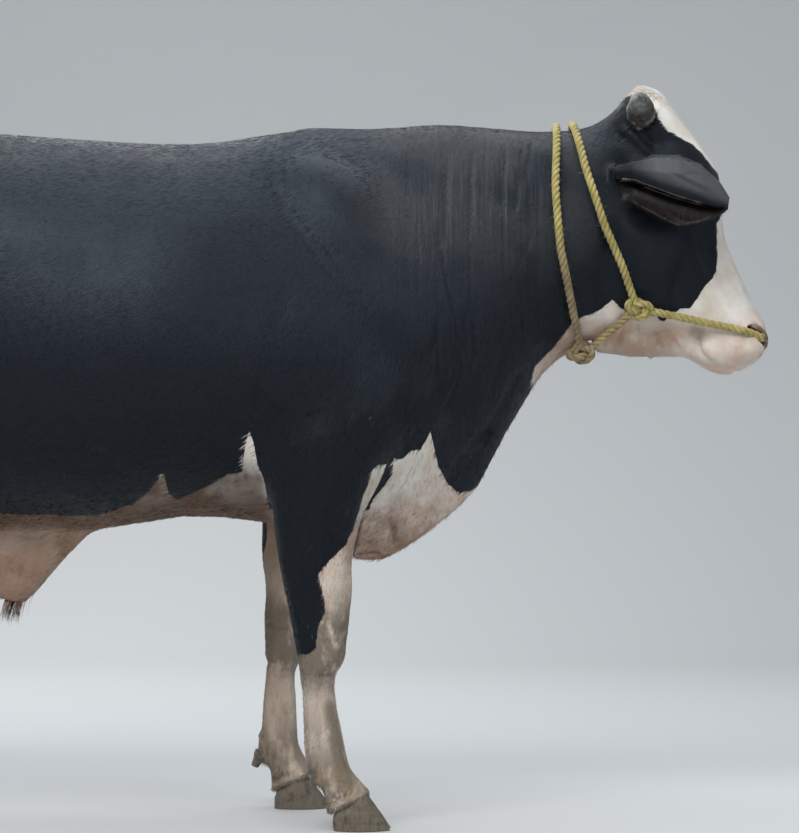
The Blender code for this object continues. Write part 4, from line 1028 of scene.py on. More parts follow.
def hair_grain(place, measures, bare):
    """The height of the hair's own grain, of pores on bare skin and of the folds of the neck."""
    x, y, z, side = measures[:4]
    spread = place.vector("SUBTRACT", WHORL)
    ray = spread.vector("MULTIPLY_ADD", (0.12, 0.12, 0.12), spread.vector("NORMALIZE"))
    downwards = x.ramp(0.08, 0.24) | (z.under(0.66, 0.05) & side.ramp(0.09, 0.12))
    back, down = [noise(combed(place, way, 0.14), 400, 2, 0.6) for way in ((0.86, 0, 0.51), (0.40, 0, 0.92))]
    hair = either(before_throat(x, z), either(downwards, back, down), noise(ray, 60, 3, 0.6))
    lick = noise(place, 60, 4, 0.6, (1, 1, 0.5))
    pores = {"Vector": place, "Scale": 330, "Smoothness": 0.6}
    pores = add(place.tree, "TexVoronoi", {"feature": "SMOOTH_F1"}, pores)
    folds = noise(place, 70, 3, 0.5, (1.7, 0.4, 0.07)) * x.ramp(0.40, 0.50) * (1 - x.ramp(0.78, 0.84))
    return hair * (1 - bare * 0.7) * 0.0006 + lick * 0.0011 + pores * bare * 0.0010 + folds * 0.0032


def hide_finish(name, place_of, grain):
    """The hide's material. place_of gives the place that the markings are read at."""
    material, tree, shader = finish(name, 0.5, 0.22, 0.0, 0.035)
    shader.inputs["Specular Tint"].default_value = (0.72, 0.86, 1.0, 1)
    shader.inputs["Sheen Tint"].default_value = (0.62, 0.72, 0.95, 1)
    shader.inputs["Sheen Roughness"].default_value = 0.45
    place = place_of(tree)
    white, measures = hide_pattern(place)
    pale, bare = pale_hair(place, measures)
    join(blended(white, dark_hair(place, measures), pale), shader, "Base Color")
    wet = measures[4].ramp(0.60, 0.63) * measures[5].ramp(-0.10, -0.08)
    sheen = noise(place, 7, 3, 0.6).ramp(0.3, 0.7)
    join((0.40 + 0.12 * sheen) + white * 0.14 - wet * 0.22, shader, "Roughness")
    if grain:
        raise_surface(hair_grain(place, measures, bare), shader, 0.9)
    return material


skin.data.materials.clear()
skin.data.materials.append(hide_finish("hide", own_place, True))

# An unwrap of the skin's own shape, with the head at twice its size, for the skin and the coat.
points = places(skin.data)
head, neck, leg = part_shares(points)
put(skin.data, points + (points - np.array(POLL)) * head[:, None])
bpy.context.view_layer.objects.active = skin
skin.select_set(True)
bpy.ops.object.mode_set(mode="EDIT")
bpy.ops.mesh.select_all(action="SELECT")
bpy.ops.uv.smart_project(angle_limit=math.radians(70), island_margin=0.002)
bpy.ops.object.mode_set(mode="OBJECT")
skin.select_set(False)
put(skin.data, points)
skin.data.uv_layers[0].name = "OFBake"

# ---- Coat: short hair that lies flat, and longer hair where it parts from the form ----
# Each lock is a closed, three-sided blade that tapers from its root to its tip. The locks lie
# back along the trunk, down the legs, out from a whorl on the brow and along each ear.
EAR_ROOT = np.array((0.930, 0.115, 1.395))
EAR_TIP = np.array((1.140, 0.215, 1.315))
COVER = 1.0    # share of the locks that are grown
PATCH = 0.0015                         # half the width of a lock's patch on the unwrap
SUNK = 0.0003                          # how far a lock's root stands under the skin


def unit(vectors):
    return vectors / np.maximum(np.linalg.norm(vectors, axis=1), 1e-9)[:, None]


def ripple(points, scale, seed):
    """A smooth value between about -1 and 1 that wanders over the body."""
    turns = np.random.default_rng(seed).uniform(-1, 1, (5, 3))
    lows = np.random.default_rng(seed + 1).uniform(0, 6.3, 5)
    waves = [np.sin((points @ unit(turn[None])[0]) * scale * (0.7 + 0.3 * n) + low)
             for n, (turn, low) in enumerate(zip(turns, lows))]
    return sum(waves) / 2.5


class Hide:
    """The skin as the ground that hair grows from."""

    def __init__(self, mesh):
        mesh.calc_loop_triangles()
        self.corners = rows_of(mesh.loop_triangles, "vertices", 3, np.int32)
        loops = rows_of(mesh.loop_triangles, "loops", 3, np.int32)
        self.uv = rows_of(mesh.uv_layers["OFBake"].data, "uv", 2)[loops]
        self.points, self.normals = places(mesh), facing(mesh)
        a, b, c = [self.points[self.corners[:, n]] for n in range(3)]
        self.middles = (a + b + c) / 3
        self.areas = np.linalg.norm(np.cross(b - a, c - a), axis=1) / 2
        self.out = unit(self.normals[self.corners].sum(1))
        self.tree = BVHTree.FromPolygons(self.points.tolist(), self.corners.tolist())

    def roots(self, per_area, seed):
        """Evenly strewn roots: their places, the way out of the skin and their place on the unwrap."""
        dice = np.random.default_rng(seed)
        amounts = np.cumsum(per_area * self.areas)
        count = int(amounts[-1])
        picks = (np.arange(count) + dice.uniform(0, 1, count)) / count * amounts[-1]
        face = np.minimum(np.searchsorted(amounts, picks), len(amounts) - 1)
        first, second = np.sqrt(dice.uniform(0, 1, count)), dice.uniform(0, 1, count)
        shares = np.stack([1 - first, first * (1 - second), first * second], 1)[:, :, None]
        spots, outs = [(rows[self.corners[face]] * shares).sum(1) for rows in (self.points, self.normals)]
        return spots, unit(outs), (self.uv[face] * shares).sum(1)


def mirrored_to(way, sides):
    """One way for each point, mirrored for the points of the other side."""
    ones = np.ones(len(sides))
    return way * np.stack([ones, np.sign(sides), ones], 1)


def lie(roots, outs, seed, stray=0.14):
    """The way the hair lies at each root: back along the trunk, then by the regions in turn."""
    head, neck, leg = part_shares(roots)
    x, y, z = roots.T
    backward = np.array((-0.25, 0, 0)) * rising(np.abs(y), 0.05, 0.09)[:, None]
    from_whorl = unit(roots - np.array(WHORL)) + backward
    way = np.tile((-0.85, 0, -0.50), (len(roots), 1))
    for share, own in (
        (rising(-0.60 - x, 0, 0.25) * (1 - head), (-0.10, 0, -1.0)),
        (rising(x, 0.10, 0.25) * rising(1.35 - z, 0, 0.2), (-0.42, 0, -0.90)),
        (neck, (-0.50, 0, -0.85)),
        (leg, (-0.16, 0, -1.0)),
        (head, from_whorl),
        (ear_share(roots), unit(mirrored_to(EAR_TIP - EAR_ROOT, y))),
    ):
        way = way * (1 - share[:, None]) + np.array(own) * share[:, None]
    way = unit(way - outs * (way * outs).sum(1)[:, None])
    dice = np.random.default_rng(seed)
    sway = 0.14 * ripple(roots, 34, 3) + 0.12 * ripple(roots, 85, 5) + dice.normal(0, stray, len(roots))
    return unit(way + np.cross(outs, way) * sway[:, None])


def locks(name, lines, outs, half_widths, depths, uvs=None):
    """Grows closed blades along the given lines: a row of places each, from root to tip."""
    count, steps = lines.shape[0], lines.shape[1] - 1
    ways = unit(lines[:, -1] - lines[:, 0])
    sides = unit(np.cross(ways, outs))
    ups = unit(np.cross(sides, ways))
    points = np.empty((count, steps * 3 + 1, 3))
    for n in range(steps):
        slim = (1 - (n / steps) ** 1.6 * 0.75)
        points[:, n * 3] = lines[:, n] - sides * half_widths[:, None] * slim
        points[:, n * 3 + 1] = lines[:, n] + sides * half_widths[:, None] * slim
        points[:, n * 3 + 2] = lines[:, n] + ups * depths[:, None] * slim
    points[:, -1] = lines[:, -1]
    faces = [(0, 1, 2)]
    last = (steps - 1) * 3
    for n in range(0, last, 3):
        for a, b in ((0, 1), (1, 2), (2, 0)):
            faces += [(n + b, n + a, n + a + 3), (n + b, n + a + 3, n + b + 3)]
    faces += [(last + 1, last, last + 3), (last + 2, last + 1, last + 3), (last, last + 2, last + 3)]
    every = (np.arange(count) * (steps * 3 + 1))[:, None, None] + np.array(faces)[None]
    mesh = bpy.data.meshes.new(name)
    mesh.vertices.add(points.shape[0] * points.shape[1])
    mesh.vertices.foreach_set("co", points.astype(np.float32).ravel())
    mesh.loops.add(every.size)
    mesh.loops.foreach_set("vertex_index", every.astype(np.int32).ravel())
    mesh.polygons.add(every.size // 3)
    mesh.polygons.foreach_set("loop_start", np.arange(0, every.size, 3, dtype=np.int32))
    mesh.update(calc_edges=True)
    if steps == 1:
        lean = np.stack([outs - 0.30 * sides, outs + 0.30 * sides, outs, outs + 0.15 * ways], 1)
        mesh.normals_split_custom_set_from_vertices(unit(lean.reshape(-1, 3)).tolist())
    root = mesh.attributes.new("root", "FLOAT_VECTOR", "POINT")
    root.data.foreach_set("vector", np.repeat(lines[:, 0], steps * 3 + 1, axis=0).astype(np.float32).ravel())
    if uvs is not None:
        turns = np.arange(steps * 3 + 1) * 2.4
        patch = np.stack([np.cos(turns), np.sin(turns)], 1) * PATCH
        on_unwrap = np.clip(uvs[:, None] + patch[None], 0.0, 1.0).reshape(-1, 2)
        layer = mesh.uv_layers.new(name="OFBake")
        layer.data.foreach_set("uv", on_unwrap[every.ravel()].astype(np.float32).ravel())
    return piece(name, mesh)


def root_place(tree):
    return add(tree, "Attribute", {"attribute_name": "root"}, {}, 1)


def on_hide(points):
    """Where points lie: x, the side's distance, z, down the face and out of it, and the parts' shares."""
    x, y, z = points.T
    from_poll = points - np.array(POLL)
    return x, np.abs(y), z, from_poll @ ALONG, from_poll @ OUTWARD, *part_shares(points), ear_share(points)


hair = hide_finish("hair", root_place, False)
ground = Hide(skin.data)
x, side, z, down, out, head, neck, leg, ears = on_hide(ground.middles)
from_eye = np.linalg.norm(np.stack([x, side, z], 1) - np.array(EYE_PLACE), axis=1)
nose = head * rising(down, 0.585, 0.610) * rising(out, -0.105, -0.085)
bald = np.clip(nose + head * rising(-from_eye, -0.030, -0.024), 0, 1)
thin_haired = rising(0.66 - z, 0, 0.05) * rising(0.1 - x, 0, 0.05) * (1 - leg) + 0.7 * nose
thin_haired = np.clip(thin_haired, 0, 1)
# How closely the locks stand, by region.
per_area = (29000 + 6000 * neck + 18000 * leg + 33000 * head) * (1 - 0.45 * thin_haired)
per_area = per_area * (1 - ears) + 46000 * ears
per_area *= (1 - bald) * COVER
roots, outs, uvs = ground.roots(per_area, 11)
x, side, z, down, out, head, neck, leg, ears = on_hide(roots)
fine = np.clip(head * rising(down, 0.30, 0.60) + leg * rising(0.20 - z, 0, 0.1), 0, 1)
dice = np.random.default_rng(12)
small = 1 - 0.34 * head - 0.28 * leg - 0.30 * ears * (1 - head) - 0.34 * fine
lengths = dice.uniform(0.013, 0.019, len(roots)) * small
rises = dice.uniform(0.0004, 0.0011, len(roots)) * (1 - 0.5 * head)
tips = roots + lie(roots, outs, 13) * lengths[:, None] + outs * rises[:, None]
for n, rise in enumerate(rises):
    spot, straight_up, _, _ = ground.tree.find_nearest(tips[n])
    tips[n] = spot + straight_up * rise
lines = np.stack([roots - outs * SUNK, tips], 1)
widths, depths = dice.uniform(0.0008, 0.0014, len(roots)) * small, np.full(len(roots), 0.0004) * small
coat = []
left = np.ones(len(roots), bool)
for name, belongs in (
    ("coat_head", (head > 0.5) | (ears > 0.3)), ("coat_legs", leg > 0.5), ("coat_neck", x > 0.44),
    ("coat_shoulders", x > 0.06), ("coat_ribs", x > -0.36), ("coat_flanks", x > -0.74), ("coat_rump", x > -9),
):
    mine = left & belongs
    left &= ~belongs
    coat.append(locks(name, lines[mine], outs[mine], widths[mine], depths[mine], uvs[mine]))


# Longer hair: each band grows from the skin where the wish is high.
def band(name, wish, per_area, length, spread, lift, seed, steps=3, half_width=0.00075, droop=0.0,
         away=(0, 0, 0), wild=0.35):
    """Longer, finer locks where wish, 0 to 1 at each face, calls for them; away adds to their way."""
    roots, outs, uvs = ground.roots(per_area * COVER * np.clip(wish, 0, 1), seed)
    if len(roots) == 0:
        return
    dice = np.random.default_rng(seed)
    ways = lie(roots, outs, seed, wild)
    lengths = length * (1 + dice.uniform(-spread, spread, len(roots)))
    aim = unit(ways + outs * (lift * dice.uniform(0.4, 1.3, len(roots)))[:, None] + np.array(away))
    curl = unit(np.cross(aim, outs)) * dice.normal(0, 0.16, len(roots))[:, None]
    rows = []
    for n in range(steps + 1):
        t = n / steps
        bend = (curl + np.array((0, 0, -droop * t * t))) * t * t
        rows.append(roots + (aim * t + bend) * lengths[:, None] - outs * 2 * SUNK * (1 - t))
    widths = half_width * dice.uniform(0.7, 1.2, len(roots))
    coat.append(locks(name, np.stack(rows, 1), outs, widths, widths * 0.8, uvs))


x, side, z, down, out, head, neck, leg, ears = on_hide(ground.middles)
out_x, out_y, out_z = ground.out.T
body = 1 - head
facing_down = rising(-out_z, 0.25, 0.8)
poll = head * rising(-down, -0.085, -0.02) * rising(0.075 - side, 0, 0.03) * rising(out, -0.13, -0.06)
band("hair_poll", poll * (1 - ears), 120000, 0.016, 0.4, 0.16, 21, half_width=0.00062)
rims = ears * rising(np.abs(out_z * 0.6 + out_y * np.sign(ground.middles[:, 1]) * 0.1), 0.42, 0.55)
band("hair_ear_rims", rims, 60000, 0.0105, 0.35, 0.35, 22, 2)
linings = ears * rising(out_z, 0.2, 0.6) * rising(1.335 - z, 0, 0.01) * rising(1.10 - x, 0, 0.04)
band("hair_ear_linings", linings, 60000, 0.019, 0.4, 0.45, 23)
from_horn = np.linalg.norm(np.stack([x, side, z], 1) - np.array((0.976, 0.090, 1.512)), axis=1)
band("hair_horn_bases", head * rising(-from_horn, -0.045, -0.034), 90000, 0.013, 0.3, 0.5, 24, 2)
chin = head * facing_down * rising(down, 0.47, 0.52)
band("hair_chin", chin, 11000, 0.010, 0.5, 0.6, 25, half_width=0.00028)
lips = head * rising(down, 0.52, 0.56) * rising(0.13 + out, 0.0, 0.02) * rising(side, 0.03, 0.05)
band("hair_whiskers", lips, 2600, 0.017, 0.5, 1.0, 26, half_width=0.00018)
jaw = head * facing_down * rising(0.45 - down, 0, 0.1)
band("hair_jaw", jaw, 9000, 0.008, 0.4, 0.30, 27, 2, 0.0005)
belly = facing_down * rising(0.72 - z, 0, 0.06) * (1 - leg) * body
band("hair_belly", belly, 9000, 0.012, 0.4, 0.25, 28, 2)
keel = rising(0.035 - side, 0, 0.02) * rising(x, 0.33, 0.37) * body * facing_down
band("hair_brisket", keel, 16000, 0.013, 0.45, 0.35, 29)
leg_backs = leg * rising(-out_x, 0.45, 0.85)
band("hair_leg_backs", leg_backs, 38000, 0.0105, 0.35, 0.13, 30, 2, 0.00055)
fetlocks = leg * rising(0.155 - z, 0, 0.02) * rising(z, 0.09, 0.11) * rising(-out_x, 0.1, 0.6)
band("hair_fetlocks", fetlocks, 60000, 0.018, 0.35, 0.18, 31, half_width=0.0006)
coronets = leg * rising(0.098 - z, 0, 0.012)
band("hair_coronets", coronets, 110000, 0.015, 0.3, 0.10, 32, 2, away=(0, 0, -0.4), wild=0.25)
tufts = np.minimum(*[np.hypot(x - at, side * 0.6) for at in (-0.386, -0.358)])
sheath = rising(-tufts, -0.010, -0.005) * rising(0.485 - z, 0, 0.01) * rising(z, 0.42, 0.43)
band("hair_sheath", sheath * facing_down, 260000, 0.034, 0.3, 0.2, 33, 4, 0.0006, 0.3, (0, 0, -2.4))
spine = rising(out_z, 0.90, 0.99) * rising(z, 1.34, 1.40) * body
band("hair_spine", spine, 8000, 0.016, 0.35, 0.045, 34, 2, 0.0008, wild=0.16)
tail_end = rising(-x, 1.19, 1.21) * rising(1.02 - z, 0, 0.2) * rising(0.08 - side, 0, 0.02)
band("hair_tail", tail_end, 90000, 0.034, 0.3, 0.14, 35, 3, 0.0008, 0.2)

# Lashes: a fan along each upper lid, and a few along the lower one.
LASH_HALF = 0.00022                    # half a lash's width
rows, ups = [], []
dice = np.random.default_rng(41)
for _, side in SIDES:
    frame_of = eye_frame(side)
    look, run, rise = [np.array(way) for way in frame_of[1:]]
    for above, count, dip, curl, shortest, longest in (
        (1, 90, 0.30, 0.40, 0.014, 0.021), (-1, 26, 0.25, -0.1, 0.007, 0.010),
    ):
        for n in range(count):
            turn = math.radians((14 + 152 * n / count) * above) + dice.uniform(-0.02, 0.02)
            root = np.array(lid_place(frame_of, turn, 1.045, 0.0022))
            fan = look * 0.9 + run * (0.75 * math.cos(turn) + dice.uniform(-0.2, 0.2)) - rise * dip
            fan /= np.linalg.norm(fan)
            length = dice.uniform(shortest, longest)
            bend = rise * curl * length
            rows.append([root + fan * length * t + bend * t * t for t in (0, 0.33, 0.66, 1.0)])
            ups.append(rise)
fine_hair = np.full(len(rows), LASH_HALF)
coat.append(locks("lashes", np.array(rows), np.array(ups), fine_hair, fine_hair))

# Tail switch: long pale locks that hang from the tail's end and part a little at their tips.
TAIL_END = np.array((-1.234, 0.021, 0.712))
SWITCH_LENGTH = 0.335
SWITCH_RADIUS = 0.0130
count = int(1500 * COVER)
dice = np.random.default_rng(51)
turn = dice.uniform(0, 2 * math.pi, count)
girth = np.sqrt(dice.uniform(0, 1, count))
start = dice.uniform(0, 1, count) ** 1.6
reach = SWITCH_LENGTH * (1 - start * 0.5) * dice.uniform(0.62, 1.0, count)
outs = np.stack([np.cos(turn), np.sin(turn), np.zeros(count)], 1)
roots = TAIL_END + np.stack([*(outs[:, :2].T * SWITCH_RADIUS * girth), 0.022 - start * 0.10], 1)
rows = []
for n in range(7):
    t = n / 6
    spread = np.sin(math.pi * min(1.0, t * 1.15) ** 0.8) * 0.020 + 0.004 * t
    wave = 0.0045 * np.sin(t * 9 + turn * 2) * t
    aside = outs[:, :2] * (girth * spread + wave)[:, None]
    rows.append(np.column_stack([roots[:, :2] + aside, roots[:, 2] - reach * t]))
switch = locks("tail_switch", np.stack(rows, 1), outs, np.full(count, 0.0012), np.full(count, 0.0010))
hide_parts("tail_switch")
coat.append(switch)
for obj in coat:
    obj.data.materials.append(hair)

# ---- Eyes: dark wet balls with a clear bulge over the iris ----
# Each is one ball, held in its socket by the lids. The iris is dark brown with fine rays and
# a black rim, and the pupil is a level oval.
IRIS = (0.0178, 0.0165)                # half its length and height
PUPIL = (0.0092, 0.0050)
BULGE = 0.065                          # how far the clear front stands out, against the radius
RAY_DARK, RAY_BROWN = (0.020, 0.008, 0.004), (0.060, 0.026, 0.010)
VEINED, EYE_WHITE = (0.09, 0.05, 0.035), (0.20, 0.13, 0.10)
IRIS_RIM, PUPIL_BLACK = (0.006, 0.004, 0.004), (0.003, 0.003, 0.006)


def set_at(bm, place, turn):
    """Turns the shape and moves it to its place."""
    bmesh.ops.transform(bm, matrix=Matrix.Translation(place) @ turn.to_4x4(), verts=bm.verts)
    bmesh.ops.recalc_face_normals(bm, faces=bm.faces)


def eyeball(name, side):
    bm = bmesh.new()
    bmesh.ops.create_uvsphere(bm, u_segments=48, v_segments=32, radius=EYE_SIZE)
    middle, look, run, rise = eye_frame(side)
    for v in bm.verts:
        lift = max(0.0, (v.co.z / EYE_SIZE - 0.80) / 0.20)
        v.co *= 1 + BULGE * lift * lift * (3 - 2 * lift)
    upward = rise if run.cross(rise).dot(look) > 0 else -rise
    set_at(bm, middle, Matrix((run, upward, look)).transposed())
    eye = laid(name, bm)
    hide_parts(name)
    return eye


def eye_finish():
    """Brown iris and oval pupil, read from the place on either eye."""
    material, tree, shader = finish("eye", 0.12, 0.35, 0.6)
    shader.inputs["Coat Roughness"].default_value = 0.02
    x, y, z = own_place(tree).parts()
    middle, look, run, rise = eye_frame(1)
    run = (run - look * 0.22).normalized()
    own = add(tree, "CombineXYZ", {}, {0: x, 1: abs(y), 2: z}).vector("SUBTRACT", tuple(middle))
    across, upright = [own.vector("DOT_PRODUCT", tuple(way), out=1) for way in (run, rise)]

    def oval(half_length, half_height):
        a, b = across / half_length, upright / half_height
        return (a * a + b * b).maths("SQRT")

    iris, pupil = oval(*IRIS), oval(*PUPIL)
    rays, veins = noise(own, 300).ramp(0.35, 0.7), noise(own, 90).ramp(0.4, 0.6)
    join(layered(
        blended(rays, RAY_DARK, RAY_BROWN),
        (iris.ramp(0.93, 1.04), blended(veins, VEINED, EYE_WHITE)),
        (iris.ramp(0.80, 0.95) * (1 - iris.ramp(0.98, 1.05)) * 0.8, IRIS_RIM),
        (1 - pupil.ramp(0.9, 1.08), PUPIL_BLACK),
    ), shader, "Base Color")
    return material


eye_material = eye_finish()
for name, side in SIDES:
    eyeball("eye_" + name, side).data.materials.append(eye_material)

# ---- Horns: short worn stubs ----
# Each is a blunt cone of horn, turned round its own axis, ringed at its base, pitted and
# cracked, and paler where it is worn at the tip.
HORN_BASE, HORN_AIM = Vector((0.976, 0.086, 1.512)), Vector((-0.14, 0.87, 0.46)).normalized()
HORN_LENGTH, HORN_RADIUS = 0.078, 0.0295
HORN_ROOT = 0.25                       # how far it goes on under the skin, against its length
HORN_DARK, HORN_GREY, HORN_WORN = (0.020, 0.018, 0.016), (0.080, 0.075, 0.068), (0.20, 0.205, 0.20)
SCURF = (0.32, 0.24, 0.19)             # flaking skin round the base


def horn(name, side):
    bm = bmesh.new()
    profile = []
    for n in range(27):
        t = 1.23 * math.sin(math.pi / 2 * n / 26) - HORN_ROOT
        radius = HORN_RADIUS * math.sqrt(max(0.0, 1 - (max(0.0, t) / 0.985) ** 2.3))
        profile.append(bm.verts.new((radius, 0, HORN_LENGTH * t)))
    line = [bm.edges.new(pair) for pair in zip(profile, profile[1:])]
    bmesh.ops.spin(
        bm, geom=profile + line, cent=(0, 0, 0), axis=(0, 0, 1), angle=math.tau, steps=56)
    bmesh.ops.remove_doubles(bm, verts=bm.verts, dist=1e-4)
    bmesh.ops.holes_fill(bm, edges=[e for e in bm.edges if e.is_boundary], sides=0)
    bmesh.ops.triangulate(bm, faces=[f for f in bm.faces if len(f.verts) > 4])
    aim, base = [Vector((way.x, way.y * side, way.z)) for way in (HORN_AIM, HORN_BASE)]
    set_at(bm, base, Vector((0, 0, 1)).rotation_difference(aim).to_matrix())
    obj = laid(name, bm)
    points, normals = places(obj.data), facing(obj.data)
    up = (points - np.array(base)) @ np.array(aim) / HORN_LENGTH
    rings = 0.0007 * np.sin(up * 62) * rising(0.55 - up, 0, 0.3)
    lumps = 0.0012 * ripple(points, 130, 61) + 0.0004 * ripple(points, 420, 63)
    put(obj.data, points + normals * (rings + lumps)[:, None])
    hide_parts(name)
    return obj


def horn_finish():
    """Grey horn, paler and smoother at its worn tip, with scurf round its base."""
    material, tree, shader = finish("worn horn", 0.55, 0.4)
    place = own_place(tree)
    x, y, z = place.parts()
    up = (abs(y) - HORN_BASE.y) * HORN_AIM.y + (z - HORN_BASE.z) * HORN_AIM.z
    up = (up + (x - HORN_BASE.x) * HORN_AIM.x) / HORN_LENGTH
    grain = noise(place, 150, 5, 0.65)
    worn = up.ramp(0.45, 0.95) * noise(place, 55, 4).ramp(0.35, 0.6)
    scurf = (1 - up.ramp(0.10, 0.26)) * noise(place, 70, 4, 0.6).ramp(0.42, 0.60)
    grey = blended(grain.ramp(0.3, 0.7), HORN_DARK, HORN_GREY)
    join(layered(grey, (worn, HORN_WORN), (scurf * 0.8, SCURF)), shader, "Base Color")
    raise_surface(grain * 0.0022 + noise(place, 60, 3, 0.5, (1, 1, 3)) * 0.0016, shader, 0.8)
    return material


horn_material = horn_finish()
for name, side in SIDES:
    horn("horn_" + name, side).data.materials.append(horn_material)

# ---- Claws: two to a foot, with two dewclaws behind ----
# Each is a block of grey-brown horn with growth rings that follow its upper edge, worn flat
# below and muddy. Their upper ends run up into the foot, under the fringe of hair.
CLAW_GRAIN = 0.0021
TUCK = 0.009                           # how far a claw's upper end goes up under the skin
CLAW_MIDDLE = (0.050, 0.182)           # of a claw: from its heel, and from the animal's middle
CLAW_DARK, CLAW_BROWN = (0.050, 0.042, 0.035), (0.150, 0.128, 0.105)
CLAW_PALE, MUD = (0.20, 0.17, 0.135), (0.165, 0.135, 0.095)


def claw(name, grain):
    obj = laid(name, gathered([name]))
    low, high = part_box(name)
    grown_together(obj, grain)
    softened(obj, 5, np.ones(len(obj.data.vertices)))
    points, normals = places(obj.data), facing(obj.data)
    tall = high[2] - low[2]
    share = (points[:, 2] - low[2]) / tall
    on_side = rising(1 - np.abs(normals[:, 2]), 0.15, 0.6)
    level = points[:, 2] + 0.22 * tall * (points[:, 0] - low[0]) / (high[0] - low[0])
    ring = np.sin(level / 0.0050 + 0.7 * ripple(points, 60, 70)) * 0.5 + np.sin(level / 0.0021) * 0.2
    points += normals * (on_side * 0.00055 * ring + 0.0006 * ripple(points, 190, 72))[:, None]
    if "dew" in name:
        points[:, 2] += rising(share, 0.60, 1.0) * TUCK * 0.3
    else:
        rim = CORONET + (points[:, 0] - low[0] - HEEL_TO_CORONET) * math.tan(CORONET_SLOPE)
        at_rim = rising(points[:, 2] - rim, -0.016, 0.0)
        middle = np.array((low[0] + CLAW_MIDDLE[0], math.copysign(CLAW_MIDDLE[1], low[1])))
        points[:, :2] -= (points[:, :2] - middle) * (0.20 * at_rim)[:, None]
        points[:, 2] += at_rim * TUCK
    points[:, 2] = np.maximum(points[:, 2], low[2])
    put(obj.data, points)
    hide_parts(name)
    return obj


def claw_finish():
    """Streaked and faintly banded horn, with mud on its lower edge."""
    material, tree, shader = finish("claw", 0.62, 0.35)
    place = own_place(tree)
    streaks = noise(place, 150, 4, 0.6, (1, 1, 0.35))
    bands = noise(place, 150, 3, 0.5, (0.14, 0.14, 1))
    low_down = 1 - place.parts()[2].ramp(0.004, 0.022)
    mud = noise(place, 30, 5, 0.62).ramp(0.36, 0.58) | low_down * 0.8
    streaked = blended(streaks.ramp(0.3, 0.7), CLAW_DARK, CLAW_BROWN)
    colour = layered(streaked, (bands.ramp(0.40, 0.70) * 0.18, CLAW_PALE), (mud * 0.75, MUD))
    join(colour, shader, "Base Color")
    grit = noise(place, 260, 4, 0.6) * 0.0009 + mud * noise(place, 500, 2) * 0.0012
    raise_surface(streaks * 0.0007 + grit, shader, 0.8)
    return material


claw_material = claw_finish()
for end in ("fore", "hind"):
    for foot, _ in SIDES:
        for place in ("inner", "outer"):
            for kind, grain in (("claw", CLAW_GRAIN), ("dewclaw", CLAW_GRAIN * 0.75)):
                claw(f"{kind}_{end}_{foot}_{place}", grain).data.materials.append(claw_material)

# ---- Halter: three-strand rope, tied off at two cheek knots and one under the throat ----
# Each rope is three strands laid round one another. One loop goes round the neck, one stands
# behind the ears, and one runs through both nostrils. The lead is left off.
ROPE_RADIUS = 0.0085
LAY = 0.043                            # length of one turn of the strands
STRAND_RADIUS, STRAND_OUT = 0.0047, 0.0041
STEP = 0.0026                          # between two places along a strand
CORNERS = 12                           # of a strand's section
# The loops' planes, as heights and the x there.
NECK_LOOP = ((1.012, 0.849), (1.054, 0.839), (1.102, 0.826), (1.227, 0.798), (1.354, 0.788), (1.500, 0.798))
HEADSTALL = ((1.100, 0.966), (1.133, 0.953), (1.192, 0.931), (1.275, 0.892), (1.392, 0.855), (1.500, 0.833))
LOOP_POINTS = 110
CHEEK_KNOT = (0.966, 1.100)            # x and height, here and in the next line
NOSE_ROPE = ((0.996, 1.106), (1.057, 1.090), (1.122, 1.071), (1.173, 1.056))
JAW = (0.905, 1.060)                   # where the links to the throat knot pass the jaw
BY_NOSTRIL = (0.586, -0.050, 0.070)    # beside a nostril: down the face, out of it and off the middle
THROAT_KNOT = (0.850, -0.050, 1.006)
KNOT_TURNS = 3
CLEAR = ROPE_RADIUS + 0.0040           # from the skin to the middle of a rope, through the coat
STRAW, PALE_STRAW = (0.40, 0.33, 0.085), (0.62, 0.52, 0.19)
OLD_BROWN, OLD_TAN = (0.21, 0.145, 0.070), (0.42, 0.32, 0.18)
# painted shade in the grooves between yarns and between strands
YARN_GROOVE_SHADE, STRAND_GAP_SHADE = (0.12, 0.095, 0.03), (0.060, 0.046, 0.014)
FIBRE_PALE, FIBRE_BROWN = (0.55, 0.47, 0.20), (0.33, 0.25, 0.13)
FIBRE_HALF = 0.00022                   # half a broken fibre's width
YARNS, YARN_TWIST = 7, 560             # yarns round a strand, and their twist for each metre
body = BVHTree.FromObject(skin, bpy.context.evaluated_depsgraph_get())


def clearance(place):
    """How far a place stands off the skin, and the way out there."""
    near, normal = body.find_nearest(place)[:2]
    return (place - near).dot(normal), normal


def surface_place(centre, away, clear=CLEAR):
    """Where a ray from inside the body leaves it, a little further out."""
    low, high = 0.0, 0.6
    for _ in range(30):
        middle = (low + high) / 2
        if clearance(centre + away * middle)[0] < 0:
            low = middle
        else:
            high = middle
    return centre + away * (high + clear)


def on_side_of(side, x, z, clear=CLEAR):
    return surface_place(Vector((x, 0, z)), Vector((0, side, 0)), clear)


def hull_of(points):
    """The taut line round flat points, in order."""
    points = sorted(points)
    chains = []
    for run in (points, points[::-1]):
        chain = []
        for p in run:
            while len(chain) > 1:
                (ax, ay), (bx, by) = chain[-2:]
                if (bx - ax) * (p[1] - ay) - (by - ay) * (p[0] - ax) > 0:
                    break
                chain.pop()
            chain.append(p)
        chains.append(chain[:-1])
    return chains[0] + chains[1]


def lengths_along(points):
    """The distance of each point from the first, along their line."""
    return np.concatenate([[0], np.cumsum(np.linalg.norm(np.diff(points, axis=0), axis=1))])


def evenly(points, count):
    """The same line with its points evenly spaced."""
    points = np.array([tuple(p) for p in points])
    along = lengths_along(points)
    at = np.linspace(0, along[-1], count)
    return [Vector([float(np.interp(t, along, points[:, k])) for k in range(3)]) for t in at]


